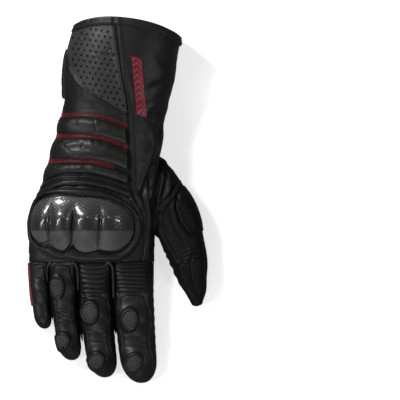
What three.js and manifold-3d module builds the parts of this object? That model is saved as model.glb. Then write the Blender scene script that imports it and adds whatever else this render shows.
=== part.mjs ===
// A motorcycle gauntlet for the right hand, in millimetres, lying palm down.
// The back of the hand faces +Z, the fingers point to -Y and the thumb lies on the +X side.
// While it is built, y = 0 is the wrist seam and x = 0 the middle of the wrist.
import * as THREE from "three";
import { mergeVertices } from "three/addons/utils/BufferGeometryUtils.js";
import Module from "manifold-3d";

const wasm = await Module();
wasm.setup();
const { lerp, clamp, smoothstep, degToRad } = THREE.MathUtils;

// Driving sizes
const seamGap = 0.3; // clearance between two sewn pieces
const leather = 1.8; // wall of the cuff, hand and fingers, lining included
const cuffLength = 67.5; // wrist seam to the sides of the mouth
const cuffHeight = 61;
const mouthWidth = 97;
const mouthOffset = 12; // the mouth's middle, towards the thumb
const mouthSlant = 0.157; // how far the mouth falls away for each mm towards the thumb
const backRise = 15; // how far the mouth's edge rises over the back
const palmRise = 8;
const wristWidth = 94.5;
const wristHeight = 50;
const handLength = 137; // wrist seam to the finger roots
const palmWidth = 113; // across the finger roots
const palmOffset = 20.9; // the palm's middle, away from the thumb
const rootHeight = 33; // height of the hand at the finger roots
const indexLength = 109;
const middleLength = 104;
const ringLength = 88.5;
const littleLength = 60;
const fingerHeight = 30;
const thumbWidth = 37.5; // at its seam with the gusset
const thumbHeight = 31;
const thumbReach = 54; // from that seam to the tip
const bindingWidth = 6;
const bindingThickness = 1.3;
const guardWidth = 91;
const guardLength = 50;
const guardHeight = 10.5;
const guardEdge = 2; // height of the guard's rim above the leather
const weltWidth = 6.5;
const weltHeight = 4.2;
const weltGap = 0.8; // between the guard's rim and the welt
const padHeight = 4.5; // the quilted wrist pads
const perforatedThickness = 1.1;
const perforationRadius = 0.75;
const perforationPitch = 6.3;
const flapThickness = 3;
const strapThickness = 3;
const strapWidth = 21.5;
const keeperWidth = 6;
const heelPatchThickness = 0.7;
const palmPatchThickness = 1.4;
const labelThickness = 0.8;
const cuffLabelWidth = 9.5;
const cuffLabelLength = 53;
const palmLabelWidth = 9;
const palmLabelLength = 50;
const ventThickness = 1.7;
const ventWidth = 12;
const ventLength = 18.5;
const stretchDepth = 2.6; // height of the ribs on the stretch panels
const ribPitch = 4.5;
const thumbGuardThickness = 2.2;
const sidePadThickness = 1.6;
const touchPadThickness = 0.9;
const sidePleatThickness = 3.2;

// Sizes that follow from them
const underlay = Math.max(flapThickness, strapThickness); // what lies between the leather and the table
const restHeight = underlay + seamGap; // underside of the cuff and the hand
const heelPadThickness = underlay - heelPatchThickness - seamGap;
const touchRest = touchPadThickness + seamGap;
const guardX = -palmOffset - 0.067 * palmWidth;
const guardY = -0.75 * handLength;
const labelTurn = 0.09; // lean of the cuff's label, in mm per mm

// Lengthwise shape of the cuff: 0 at the wrist seam, 1 at the mouth's sides. The other columns
// are shares of the way from the wrist's size to the mouth's.
const cuffRows = [
  { along: 0, left: 0, right: 0, top: 0 },
  { along: 0.13, left: 0.17, right: 0.1, top: 0.27 },
  { along: 0.4, left: 0.17, right: 0.47, top: 0.64 },
  { along: 0.67, left: 0.33, right: 0.73, top: 0.91 },
  { along: 0.88, left: 0.67, right: 0.93, top: 1 },
  { along: 1.07, left: 1, right: 1, top: 1 },
  { along: 1.4, left: 1.3, right: 1.1, top: 0.98 },
];
// The hand: 0 at the wrist seam, 1 at the finger roots, as shares from the wrist's size to the roots'.
const handRows = [
  { along: 0, left: 0, right: 0, top: 0 },
  { along: 0.07, left: 0.06, right: 0.23, top: 0.04 },
  { along: 0.2, left: 0.18, right: 0.31, top: 0.06 },
  { along: 0.33, left: 0.36, right: 0.62, top: 0.08 },
  { along: 0.46, left: 0.54, right: 0.85, top: 0.1 },
  { along: 0.59, left: 0.78, right: 0.92, top: 0.16 },
  { along: 0.72, left: 0.93, right: 0.92, top: 0.34 },
  { along: 0.86, left: 0.97, right: 0.96, top: 0.66 },
  { along: 1, left: 1, right: 1, top: 1 },
];
// The fingers: 0 at the root, 1 at the tip. Widths and heights are shares of the finger's own,
// rest is the share of the height by which the palm side stays above the table's level.
const fingerRows = [
  { along: 0, width: 1, top: 1, rest: 1, square: 6 },
  { along: 0.15, width: 0.98, top: 0.94, rest: 0.6, square: 3.4 },
  { along: 0.3, width: 0.955, top: 0.9, rest: 0.15, square: 2.8 },
  { along: 0.47, width: 0.95, top: 0.99, rest: 0, square: 2.4 },
  { along: 0.63, width: 0.92, top: 0.8, rest: 0, square: 2.3 },
  { along: 0.8, width: 0.88, top: 0.78, rest: 0, square: 2.2 },
  { along: 1, width: 0.8, top: 0.62, rest: 0, square: 2.1 },
];
// The fingers from the thumb's side outwards. Share is the finger's part of the palm's width, lean
// the share of its length by which its tip swings towards the thumb. Vents are places along it, and
// aside is how far they sit from its middle, as a share of its half width.
const fingers = [
  { name: "index", length: indexLength, share: 0.335, lean: 0.066, height: 1,
    rest: touchRest, stretch: 0.25, aside: -0.22, vents: [0.47, 0.83] },
  { name: "middle", length: middleLength, share: 0.279, lean: 0.087, height: 1.03,
    rest: 0, stretch: 0.27, aside: -0.34, vents: [0.43, 0.86] },
  { name: "ring", length: ringLength, share: 0.223, lean: 0.085, height: 0.97,
    rest: 0, stretch: 0, aside: -0.5, vents: [0.25, 0.81] },
  { name: "little", length: littleLength, share: 0.163, lean: 0.08, height: 0.84,
    rest: 0, stretch: 0, aside: 0, vents: [] },
];
// Sections across the thumb, from inside the hand to the tip. Along is a share of the thumb's reach
// past its seam, negative on the gusset's side; out is measured across, as a share of the width, from
// the hand's own edge; turn is the heading in degrees away from straight across the hand.
const thumbRows = [
  { along: -0.93, out: -0.45, half: 0.98, high: 0.9, turn: 30, rest: 1 },
  { along: -0.87, out: -0.05, half: 0.95, high: 1.06, turn: 24, rest: 1 },
  { along: -0.64, out: 0.34, half: 0.73, high: 1.1, turn: 24, rest: 1 },
  { along: -0.37, out: 0.57, half: 0.62, high: 1.06, turn: 41, rest: 0.8 },
  { along: 0, out: 0.74, half: 0.5, high: 1, turn: 66, rest: 0.25 },
  { along: 0.29, out: 0.85, half: 0.44, high: 0.94, turn: 80, rest: 0 },
  { along: 0.56, out: 0.92, half: 0.35, high: 0.86, turn: 84, rest: 0 },
  { along: 0.78, out: 1.01, half: 0.24, high: 0.7, turn: 82, rest: 0 },
  { along: 0.94, out: 1.03, half: 0.14, high: 0.46, turn: 80, rest: 0 },
];
// The perforated panel's edges, as shares of the cuff's half width, from its lower point to the mouth.
const perforatedRows = [
  { along: -0.02, left: 0.19, right: 0.29 },
  { along: 0.06, left: -0.02, right: 0.28 },
  { along: 0.16, left: -0.32, right: 0.26 },
  { along: 0.26, left: -0.52, right: 0.23 },
  { along: 0.4, left: -0.74, right: 0.19 },
  { along: 0.52, left: -0.89, right: 0.15 },
  { along: 0.7, left: -0.96, right: 0.09 },
  { along: 0.86, left: -0.96, right: 0.03 },
  { along: 1.3, left: -0.94, right: -0.08 },
];

// One column of a table at a share, on a smooth curve through the rows.
function column(rows, name, at) {
  let i = 0;
  while (i < rows.length - 2 && rows[i + 1].along < at) i += 1;
  const slope = (a, b) => (rows[b][name] - rows[a][name]) / (rows[b].along - rows[a].along);
  const before = slope(Math.max(i - 1, 0), i + 1);
  const after = slope(i, Math.min(i + 2, rows.length - 1));
  const step = rows[i + 1].along - rows[i].along;
  const t = clamp((at - rows[i].along) / step, 0, 1);
  const t2 = t * t;
  const t3 = t2 * t;
  return (2 * t3 - 3 * t2 + 1) * rows[i][name] + (t3 - 2 * t2 + t) * step * before +
    (3 * t2 - 2 * t3) * rows[i + 1][name] + (t3 - t2) * step * after;
}

// Section of the cuff or the hand at y: its middle, half width, heights and squareness.
function bodySection(y) {
  const inCuff = y > 0;
  const rows = inCuff ? cuffRows : handRows;
  const at = inCuff ? y / cuffLength : -y / handLength;
  const middle = inCuff ? mouthOffset : -palmOffset;
  const half = (inCuff ? mouthWidth : palmWidth) / 2;
  const left = lerp(-wristWidth / 2, middle - half, column(rows, "left", at));
  const right = lerp(wristWidth / 2, middle + half, column(rows, "right", at));
  const top = restHeight + lerp(wristHeight, inCuff ? cuffHeight : rootHeight, column(rows, "top", at));
  const square = inCuff ? 2.2 : lerp(2.2, 2.5, clamp(at, 0, 1));
  return sectionOf((left + right) / 2, (right - left) / 2, restHeight, top, square);
}

// A section is a superellipse whose underside is flattened where it rests.
const widestShare = 0.42; // height of the widest point
const flatShare = 0.2; // how far the underside would bulge below the table
function sectionOf(middle, half, bottom, top, square) {
  return { middle, half, bottom, top, square, widest: lerp(bottom, top, widestShare) };
}
function onSection(section, angle) {
  const { middle, half, bottom, top, square, widest } = section;
  const across = Math.sign(Math.cos(angle)) * Math.abs(Math.cos(angle)) ** (2 / square);
  const up = Math.abs(Math.sin(angle)) ** (2 / square);
  const under = widest - (widest - bottom) * (1 + flatShare) * up;
  const z = Math.sin(angle) >= 0 ? widest + (top - widest) * up : Math.max(bottom, under);
  return [middle + half * across, z];
}
// The angle at which a section's back (side 1) or palm (side -1) has a given x.
function angleAt(section, x, side) {
  const share = clamp((x - section.middle) / section.half, -0.999, 0.999);
  const cosine = Math.sign(share) * Math.abs(share) ** (section.square / 2);
  return side > 0 ? Math.acos(cosine) : 2 * Math.PI - Math.acos(cosine);
}
// A point of a section moved outwards by lift, square to the section's outline.
function lifted(section, angle, lift) {
  const [x, z] = onSection(section, angle);
  const [x1, z1] = onSection(section, angle - 0.01);
  const [x2, z2] = onSection(section, angle + 0.01);
  const run = Math.hypot(x2 - x1, z2 - z1) || 1;
  return [x + (lift * (z2 - z1)) / run, z - (lift * (x2 - x1)) / run];
}
function bodyPoint(y, angle, lift) {
  const [x, z] = lifted(bodySection(y), angle, lift);
  return new THREE.Vector3(x, y, z);
}
// Height of the back of the hand or the cuff over a plan point.
function backHeight(x, y) {
  const section = bodySection(y);
  const share = clamp(Math.abs(x - section.middle) / section.half, 0, 1);
  return section.widest + (section.top - section.widest) * (1 - share ** section.square) ** (1 / section.square);
}
// A point on the back at plan position x, y that bends down over the sides where x runs past them.
function drapedPoint(x, y, lift) {
  const section = bodySection(y);
  const side = Math.sign(x - section.middle);
  const away = Math.abs(x - section.middle);
  const shoulder = 0.88 * section.half;
  const angle = angleAt(section, section.middle + side * Math.min(away, shoulder), 1);
  const past = Math.max(away - shoulder, 0) / (0.5 * (section.top - section.bottom));
  return bodyPoint(y, angle - side * past, lift);
}
// The mouth's edge: slanted towards the thumb and arched over the back and the palm.
function mouthAt(angle) {
  const section = bodySection(cuffLength);
  const [x] = onSection(section, angle);
  const rise = Math.sin(angle) > 0 ? backRise : palmRise;
  return cuffLength - mouthSlant * (x - section.middle) + rise * Math.abs(Math.sin(angle)) ** 1.5;
}

// Meshing. Each ring joins the next; a ring of one point is a pole, and wrap joins the last to the first.
function geometryOf(points, triangles) {
  let volume = 0;
  for (const [a, b, c] of triangles) volume += points[a].dot(points[b].clone().cross(points[c]));
  const index = triangles.flatMap(([a, b, c]) => (volume > 0 ? [a, b, c] : [a, c, b]));
  return new THREE.BufferGeometry().setFromPoints(points).setIndex(index);
}
function ringSolid(rings, wrap = false) {
  const points = rings.flat();
  const starts = rings.map((_, i) => rings.slice(0, i).reduce((n, r) => n + r.length, 0));
  const triangles = [];
  const join = (a, b) => {
    const [m, n] = [rings[a].length, rings[b].length];
    const count = Math.max(m, n);
    for (let i = 0; i < count && m + n > 2; i += 1) {
      const j = (i + 1) % count;
      if (n > 1) triangles.push([starts[a] + (i % m), starts[b] + j, starts[b] + i]);
      if (m > 1) triangles.push([starts[a] + i, starts[a] + j, starts[b] + (j % n)]);
    }
  };
  for (let i = 0; i + 1 < rings.length; i += 1) join(i, i + 1);
  if (wrap) join(rings.length - 1, 0);
  return geometryOf(points, triangles);
}
// A sheet with thickness over u and v from 0 to 1: layer 0 is its inner face, layer 1 its outer one.
function panelSolid(across, along, place) {
  const points = [];
  const at = (i, j, layer) => (layer * (along + 1) + j) * (across + 1) + i;
  for (const layer of [0, 1])
    for (let j = 0; j <= along; j += 1)
      for (let i = 0; i <= across; i += 1) points.push(place(i / across, j / along, layer));
  const triangles = [];
  const quad = (a, b, c, d) => triangles.push([a, b, c], [a, c, d]);
  for (let j = 0; j < along; j += 1)
    for (let i = 0; i < across; i += 1) {
      quad(at(i, j, 1), at(i + 1, j, 1), at(i + 1, j + 1, 1), at(i, j + 1, 1));
      quad(at(i, j, 0), at(i, j + 1, 0), at(i + 1, j + 1, 0), at(i + 1, j, 0));
    }
  for (let i = 0; i < across; i += 1) {
    quad(at(i, 0, 0), at(i + 1, 0, 0), at(i + 1, 0, 1), at(i, 0, 1));
    quad(at(i, along, 1), at(i + 1, along, 1), at(i + 1, along, 0), at(i, along, 0));
  }
  for (let j = 0; j < along; j += 1) {
    quad(at(0, j, 1), at(0, j + 1, 1), at(0, j + 1, 0), at(0, j, 0));
    quad(at(across, j, 0), at(across, j + 1, 0), at(across, j + 1, 1), at(across, j, 1));
  }
  return geometryOf(points, triangles);
}
// A round sheet with thickness: ring 0 is its middle and ring 1 its edge.
function discSolid(rings, around, place) {
  const layer = (which) => {
    const made = [[place(0, 0, which)]];
    for (let i = 1; i <= rings; i += 1)
      made.push(circle(around).map((angle) => place(i / rings, angle, which)));
    return made;
  };
  return ringSolid([...layer(1), ...layer(0).reverse()]);
}
function circle(count) {
  return Array.from({ length: count }, (_, i) => (i * 2 * Math.PI) / count);
}
function steps(count, from = 0, to = 1) {
  return Array.from({ length: count + 1 }, (_, i) => lerp(from, to, i / count));
}

// Joining and cutting
function toManifold(geometry) {
  const bare = new THREE.BufferGeometry().setAttribute("position", geometry.getAttribute("position"));
  if (geometry.index) bare.setIndex(geometry.index);
  const merged = mergeVertices(bare, 1e-4);
  return new wasm.Manifold(new wasm.Mesh({
    numProp: 3,
    vertProperties: merged.attributes.position.array,
    triVerts: new Uint32Array(merged.index.array),
  }));
}
function fromManifold(solid) {
  const mesh = solid.getMesh();
  return new THREE.BufferGeometry()
    .setAttribute("position", new THREE.BufferAttribute(mesh.vertProperties, 3))
    .setIndex(new THREE.BufferAttribute(mesh.triVerts, 1));
}
// The geometry less each cutter, without loose slivers.
const sliver = 0.1;
function cut(geometry, ...cutters) {
  const rest = cutters.reduce((solid, cutter) => solid.subtract(cutter), toManifold(geometry));
  const bodies = rest.decompose().sort((a, b) => b.volume() - a.volume());
  return fromManifold(bodies[0].simplify(sliver));
}

// The smooth inside of a wall needs fewer rings than its outside.
function everyOther(list) {
  return list.filter((_, i) => i % 2 === 0);
}

// The cuff and the hand
const bodySides = 28;
const cuffStations = steps(6);
const handStations = steps(8).map((t) => -seamGap / 2 - t * (handLength - seamGap / 2));
function cuffRing(t, lift) {
  return circle(bodySides).map((angle) => bodyPoint(lerp(seamGap / 2, mouthAt(angle), t), angle, lift));
}
function handRing(y, lift) {
  return circle(bodySides).map((angle) => bodyPoint(y, angle, lift));
}
const cuffShell = ringSolid([
  ...cuffStations.map((t) => cuffRing(t, 0)),
  ...everyOther(cuffStations).map((t) => cuffRing(t, -leather)).reverse(),
], true);
const handTube = ringSolid([
  ...handStations.map((y) => handRing(y, 0)),
  ...everyOther(handStations).map((y) => handRing(y, -leather)).reverse(),
], true);
// The outside of the cuff and the hand, grown, as one closed solid that trims what lies on them.
function bodySolid(grow) {
  const rings = [
    ...[...cuffStations, 1.3].map((t) => cuffRing(t, grow)).reverse(),
    ...handStations.map((y) => handRing(y, grow)),
  ];
  const middle = (ring) => ring.reduce((sum, p) => sum.add(p), new THREE.Vector3()).divideScalar(ring.length);
  return toManifold(ringSolid([[middle(rings[0])], ...rings, [middle(rings.at(-1))]]));
}
const body = bodySolid(seamGap);

// The binding folds over the mouth's edge, with a clearance on both sides of the leather.
function binding() {
  const outside = seamGap + bindingThickness;
  const innerFace = -leather - 2 * seamGap;
  const inside = innerFace - bindingThickness;
  const profile = [
    [-bindingWidth, seamGap], [-bindingWidth, outside], [0, outside + 0.3], [outside, -leather * 0.5],
    [0, inside - 0.3], [-bindingWidth, inside], [-bindingWidth, innerFace],
    [seamGap, innerFace], [seamGap, seamGap],
  ];
  const rings = circle(bodySides).map((angle) =>
    profile.map(([dy, lift]) => bodyPoint(mouthAt(angle) + dy, angle, lift)));
  return ringSolid(rings, true);
}

// The thumb: its heading, place and size at each row of its table.
const thumbEdge = -palmOffset + palmWidth / 2;
const thumbSeamY = -handLength * 0.9;
function thumbSection(row, grow) {
  const heading = degToRad(row.turn);
  const centre = new THREE.Vector3(thumbEdge + row.out * thumbWidth, thumbSeamY - row.along * thumbReach, 0);
  const side = new THREE.Vector3(Math.sin(heading), Math.cos(heading), 0);
  const half = row.half * thumbWidth + grow;
  const bottom = Math.max(row.rest, 0) * restHeight - grow;
  const section = sectionOf(0, half, bottom, row.high * thumbHeight + grow, 2.3);
  return { centre, side, section };
}
function thumbRing(row, grow) {
  const { centre, side, section } = thumbSection(row, grow);
  return circle(16).map((angle) => {
    const [across, z] = onSection(section, angle);
    return centre.clone().addScaledVector(side, across).setZ(z);
  });
}
function thumbPole(row, grow) {
  const { centre, side, section } = thumbSection(row, grow);
  const forward = new THREE.Vector3(side.y, -side.x, 0);
  return [centre.clone().addScaledVector(forward, thumbWidth * 0.06 + grow).setZ(section.widest)];
}
const seamRow = thumbRows.findIndex((row) => row.along === 0);
const gussetRows = thumbRows.slice(0, seamRow + 1);
// The seam between the gusset and the thumb is one clearance wide.
const stallRows = thumbRows.slice(seamRow).map((row, i) =>
  (i ? row : { ...row, along: row.along + seamGap / thumbReach, out: row.out + 0.4 * seamGap / thumbWidth }));
function thumbTube(rows, grow) {
  const rings = rows.map((row) => thumbRing(row, grow));
  const middle = (ring) => ring.reduce((sum, p) => sum.add(p), new THREE.Vector3()).divideScalar(ring.length);
  return toManifold(ringSolid([[middle(rings[0])], ...rings, [middle(rings.at(-1))]]));
}
function thumbGusset() {
  const wall = [
    ...gussetRows.map((row) => thumbRing(row, 0)),
    ...gussetRows.map((row) => thumbRing(row, -leather)).reverse(),
  ];
  return cut(ringSolid(wall, true), body);
}
function thumbStall() {
  const tip = stallRows.at(-1);
  const inner = stallRows.slice(0, -1);
  return ringSolid([
    ...stallRows.map((row) => thumbRing(row, 0)), thumbPole(tip, 0),
    thumbPole(inner.at(-1), -leather), ...inner.map((row) => thumbRing(row, -leather)).reverse(),
  ], true);
}
const handShell = cut(handTube, thumbTube(gussetRows, -leather));

const gussetTrim = thumbTube(gussetRows, seamGap);
const stallTrim = thumbTube(stallRows, seamGap);

// The fingers. Each fills its share of the palm's width at the root and narrows to a round tip.
function fingerMiddle(finger) {
  const before = fingers.slice(0, fingers.indexOf(finger)).reduce((sum, f) => sum + f.share, 0);
  return thumbEdge - (before + finger.share / 2) * palmWidth;
}
const rootY = -handLength - seamGap;
function fingerSection(finger, at, grow) {
  const half = (finger.share * palmWidth - seamGap) / 2;
  const tipLength = 1.15 * half;
  const length = finger.length + grow;
  const distance = at * length;
  const place = distance / finger.length;
  const intoTip = clamp((distance - (length - tipLength)) / tipLength, 0, 1);
  const round = (1 - intoTip ** 2.2) ** (1 / 2.2);
  const height = finger.height * fingerHeight;
  const tipZ = finger.rest + 0.36 * height * column(fingerRows, "top", 1);
  const top = restHeight * column(fingerRows, "rest", place) + height * column(fingerRows, "top", place);
  const bottom = lerp(finger.rest, restHeight, Math.max(column(fingerRows, "rest", place), 0));
  const section = sectionOf(
    fingerMiddle(finger) + finger.lean * finger.length * place ** 2,
    Math.max((half * column(fingerRows, "width", place) + grow) * round, 0.01),
    lerp(tipZ, bottom - grow, round), lerp(tipZ, top + grow, round),
    column(fingerRows, "square", place));
  return { y: rootY - distance, section, blend: 1 - smoothstep(at, 0, 0.25) };
}
// At the root a finger's back follows the arch of the hand.
function fingerRing(finger, at, grow) {
  const { y, section, blend } = fingerSection(finger, at, grow);
  return circle(16).map((angle) => {
    const [x, z] = onSection(section, angle);
    const arch = backHeight(x, -handLength) + grow;
    const share = clamp((z - section.widest) / (section.top - section.widest), 0, 1);
    const archedZ = lerp(section.widest, Math.max(arch, section.widest), share);
    return new THREE.Vector3(x, y, z > section.widest ? lerp(z, archedZ, blend) : z);
  });
}
const fingerStations = [0, 0.14, 0.3, 0.45, 0.6, 0.75, 0.87, 0.95, 0.988];
function fingerTip(finger, grow) {
  const { y, section } = fingerSection(finger, 1, grow);
  return [new THREE.Vector3(section.middle, y, section.widest)];
}
function fingerStall(finger) {
  return ringSolid([
    ...fingerStations.map((at) => fingerRing(finger, at, 0)), fingerTip(finger, 0),
    fingerTip(finger, -leather),
    ...everyOther(fingerStations).map((at) => fingerRing(finger, at, -leather)).reverse(),
  ], true);
}
function fingerSolid(finger, grow) {
  const rings = fingerStations.map((at) => fingerRing(finger, at, grow));
  const root = new THREE.Vector3(fingerMiddle(finger), rootY, rootHeight / 2);
  return toManifold(ringSolid([[root], ...rings, fingerTip(finger, grow)]));
}
// A point over a finger's back: at is its place along, across from -1 to 1 of its half width.
function fingerBack(finger, at, across, lift) {
  const { y, section, blend } = fingerSection(finger, at, 0);
  const share = clamp(Math.abs(across), 0, 0.98);
  const up = (1 - share ** section.square) ** (1 / section.square);
  const x = section.middle + across * section.half;
  const z = lerp(lerp(section.widest, section.top, up), backHeight(x, -handLength), blend);
  return new THREE.Vector3(x, y, z + lift);
}

// Pieces on the fingers
const sunk = -1.2; // how far a piece is made below its seat before the seat trims it
function vent(finger, at, width, length, turn) {
  const disc = discSolid(2, 12, (ring, angle, layer) => {
    const across = (Math.cos(angle) * ring * width) / 2;
    const along = (Math.sin(angle) * ring * length) / 2;
    const shiftX = across * Math.cos(turn) + along * Math.sin(turn);
    const shiftY = along * Math.cos(turn) - across * Math.sin(turn);
    const half = (finger.share * palmWidth) / 2;
    const dome = seamGap + ventThickness * (1 - 0.3 * ring ** 2);
    return fingerBack(finger, at - shiftY / finger.length, shiftX / half + finger.aside, layer ? dome : sunk);
  });
  return cut(disc, fingerSolid(finger, seamGap));
}
function ribs(v, count) {
  return 0.35 + 0.65 * Math.abs(Math.sin(Math.PI * v * count));
}
function stretchPanel(finger) {
  const count = Math.round((finger.stretch * finger.length) / ribPitch);
  const panel = panelSolid(2, count * 3, (u, v, layer) => {
    const across = lerp(-0.74, 0.74, u);
    const edge = 1 - Math.abs(2 * u - 1) ** 4 * 0.6;
    const height = seamGap + stretchDepth * ribs(v, count) * edge;
    return fingerBack(finger, lerp(0.02, finger.stretch, v), across, layer ? height : sunk);
  });
  return cut(panel, fingerSolid(finger, seamGap));
}
function sidePad(finger) {
  const from = degToRad(150);
  const to = degToRad(205);
  const panel = panelSolid(4, 6, (u, v, layer) => {
    const { y, section } = fingerSection(finger, lerp(0.04, 0.8, v), 0);
    const puff = sidePadThickness * (0.55 + 0.45 * Math.sin(Math.PI * u));
    const [x, z] = lifted(section, lerp(from, to, u), layer ? seamGap + puff : sunk);
    return new THREE.Vector3(x, y, z);
  });
  return cut(panel, fingerSolid(finger, seamGap));
}
// The touch pad lies flat under the finger's tip, where the finger rests on it.
function touchPad(finger) {
  return discSolid(1, 18, (ring, angle, layer) => {
    const { y, section } = fingerSection(finger, 0.8, 0);
    const across = Math.sign(Math.cos(angle)) * Math.abs(Math.cos(angle)) ** 0.7;
    const along = Math.sign(Math.sin(angle)) * Math.abs(Math.sin(angle)) ** 0.7;
    const x = section.middle + ring * across * section.half * 0.62;
    return new THREE.Vector3(x, y + ring * along * finger.length * 0.1,
      layer ? finger.rest - seamGap - touchPadThickness : finger.rest - seamGap);
  });
}

// The knuckle guard: a sheared superellipse with a knuckle over each finger, scalloped along its lower edge.
const guardRound = 2.5;
const knuckles = fingers.map((finger) => ({
  x: guardX + (fingerMiddle(finger) - guardX) * 0.8,
  spread: finger.share * palmWidth * 0.36,
}));
const valleys = knuckles.slice(1).map((k, i) => (k.x + knuckles[i].x) / 2);
function guardOutline(angle, grow) {
  const c = Math.sign(Math.cos(angle)) * Math.abs(Math.cos(angle)) ** (2 / guardRound);
  const s = Math.sign(Math.sin(angle)) * Math.abs(Math.sin(angle)) ** (2 / guardRound);
  const x = c * (guardWidth / 2 + grow);
  let y = s * (guardLength / 2 + grow);
  const notch = valleys.reduce((sum, v) => sum + Math.exp(-(((guardX + x - v) / 2.6) ** 2)), 0);
  if (s < 0 && grow <= 0) y += Math.min(notch * 3.2, -y * 0.3);
  return [guardX + x, guardY + y - 0.08 * x];
}
function guardRise(ring, x, y) {
  const down = smoothstep((guardY - 0.08 * (x - guardX) - y) / guardLength, -0.42, 0.12);
  const barrel = knuckles.reduce((most, k) => Math.max(most, Math.exp(-(((x - k.x) / k.spread) ** 2))), 0);
  const dome = (1 - ring ** 2.6) * (0.72 + 0.28 * barrel * down);
  return guardEdge + (guardHeight - guardEdge) * dome;
}
function knuckleGuard() {
  const disc = discSolid(5, 28, (ring, angle, layer) => {
    const [ex, ey] = guardOutline(angle, 0);
    const x = lerp(guardX, ex, ring);
    const y = lerp(guardY, ey, ring);
    return drapedPoint(x, y, layer ? seamGap + guardRise(ring, x, y) : sunk);
  });
  return cut(disc, body);
}
function knuckleWelt() {
  const profile = [[0, sunk], [0, 0.6], [0.4, 1], [0.85, 0.7], [1, sunk]];
  const rings = circle(28).map((angle) => profile.map(([share, rise]) => {
    const [x, y] = guardOutline(angle, weltGap + share * weltWidth);
    return drapedPoint(x, y, rise === sunk ? sunk : seamGap + rise * weltHeight);
  }));
  return cut(ringSolid(rings, true), body);
}

// Quilted pads round the wrist. Each lies between two stitched lines that fall away towards the thumb.
const outerSeam = degToRad(190); // where the back meets the palm on the outer side
const quiltRight = 0.3 * (wristWidth / 2); // the long seam that the pads stop at
function quiltFall(x) {
  const quiltDrop = 0.155 * quiltSpan;
  return quiltDrop * clamp((x + 0.65 * wristWidth / 2) / (0.47 * wristWidth), 0, 1) ** 2;
}
// The pads fill the way from the wrist seam to the welt: each row gives where a pad starts and ends
// at its highest place, as shares of that way, and its height as a share of the pads' own.
const quiltSpan = -(guardY + guardLength / 2 + weltWidth + weltGap);
const quiltRows = [
  { from: 0.085, to: 0.29, rise: 0.8 },
  { from: 0.35, to: 0.617, rise: 1 },
  { from: 0.674, to: 0.816, rise: 0.8 },
  { from: 0.852, to: 0.937, rise: 0.62 },
];
function wristPad({ from, to, rise }) {
  const panel = panelSolid(8, 4, (u, v, layer) => {
    const level = -lerp(from, to, v) * quiltSpan;
    const start = angleAt(bodySection(level), quiltRight, 1);
    const angle = lerp(start, outerSeam - 0.03, u);
    const [x] = onSection(bodySection(level), angle);
    const fall = angle < Math.PI ? quiltFall(x) : 0;
    const puff = padHeight * rise * (0.25 + 0.75 * Math.sin(Math.PI * v) ** 0.7);
    const ends = 0.35 + 0.65 * Math.sin(Math.PI * clamp(u, 0.02, 0.98)) ** 0.4;
    return bodyPoint(level - fall, angle, layer ? seamGap + puff * ends : sunk);
  });
  return cut(panel, body);
}

// The perforated panel on the cuff's back, with real holes.
function perforatedEdges(y) {
  const section = bodySection(y);
  const at = y / cuffLength;
  const edge = (name) => angleAt(section, section.middle + column(perforatedRows, name, at) * section.half, 1);
  return { left: edge("left"), right: edge("right") };
}
const perforatedLow = cuffLength * 0.02;
function perforatedTop(angle) {
  return mouthAt(angle) - bindingWidth - 1;
}
function perforatedPanel() {
  const panel = panelSolid(6, 7, (u, v, layer) => {
    const first = perforatedEdges(lerp(perforatedLow, cuffLength, v));
    const y = lerp(perforatedLow, perforatedTop(lerp(first.right, first.left, u)), v);
    const { left, right } = perforatedEdges(y);
    return bodyPoint(y, lerp(right, left, u), layer ? seamGap + perforatedThickness : sunk);
  });
  return cut(panel, body, ...perforations());
}
function perforations() {
  const made = [];
  const rows = Math.floor((cuffLength + backRise) / perforationPitch);
  for (let row = 1; row < rows; row += 1) {
    const y = perforatedLow + row * perforationPitch * 0.96;
    const { left, right } = perforatedEdges(y);
    let walked = row % 2 ? 0 : perforationPitch / 2;
    let last = bodyPoint(y, right, 0);
    for (const angle of steps(160, right, left)) {
      const here = bodyPoint(y, angle, 0);
      walked += here.distanceTo(last);
      last = here;
      const rim = Math.min(angle - right, left - angle);
      if (walked < perforationPitch) continue;
      walked = 0;
      if (rim < 0.09 || y > perforatedTop(angle) - 2.5) continue;
      const axis = bodyPoint(y, angle, 1).sub(here);
      const pin = new THREE.CylinderGeometry(perforationRadius, perforationRadius, 6, 4);
      pin.applyQuaternion(new THREE.Quaternion().setFromUnitVectors(new THREE.Vector3(0, 1, 0), axis));
      pin.translate(here.x, here.y, here.z);
      made.push(toManifold(pin));
    }
  }
  return made;
}

// A raised label on the cuff's back, beside the long seam.
function cuffLabel() {
  const top = cuffLength * 0.72;
  return cut(panelSolid(1, 5, (u, v, layer) => {
    const y = top - v * cuffLabelLength - u * 0.35 * cuffLabelWidth;
    const x = quiltRight + 1 + labelTurn * v * cuffLabelLength + u * cuffLabelWidth;
    const section = bodySection(y);
    return bodyPoint(y, angleAt(section, x, 1), layer ? seamGap + labelThickness : sunk);
  }), body);
}

// The pleat down the cuff's outer side.
function sidePleat() {
  return cut(panelSolid(4, 5, (u, v, layer) => {
    const swell = Math.sin(Math.PI * u) ** 0.6 * (0.4 + 0.6 * Math.sin(Math.PI * v));
    const angle = degToRad(lerp(176, 200, u));
    return bodyPoint(lerp(0.14, 0.8, v) * cuffLength, angle, layer ? seamGap + sidePleatThickness * swell + 0.3 : sunk);
  }), body);
}

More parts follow.
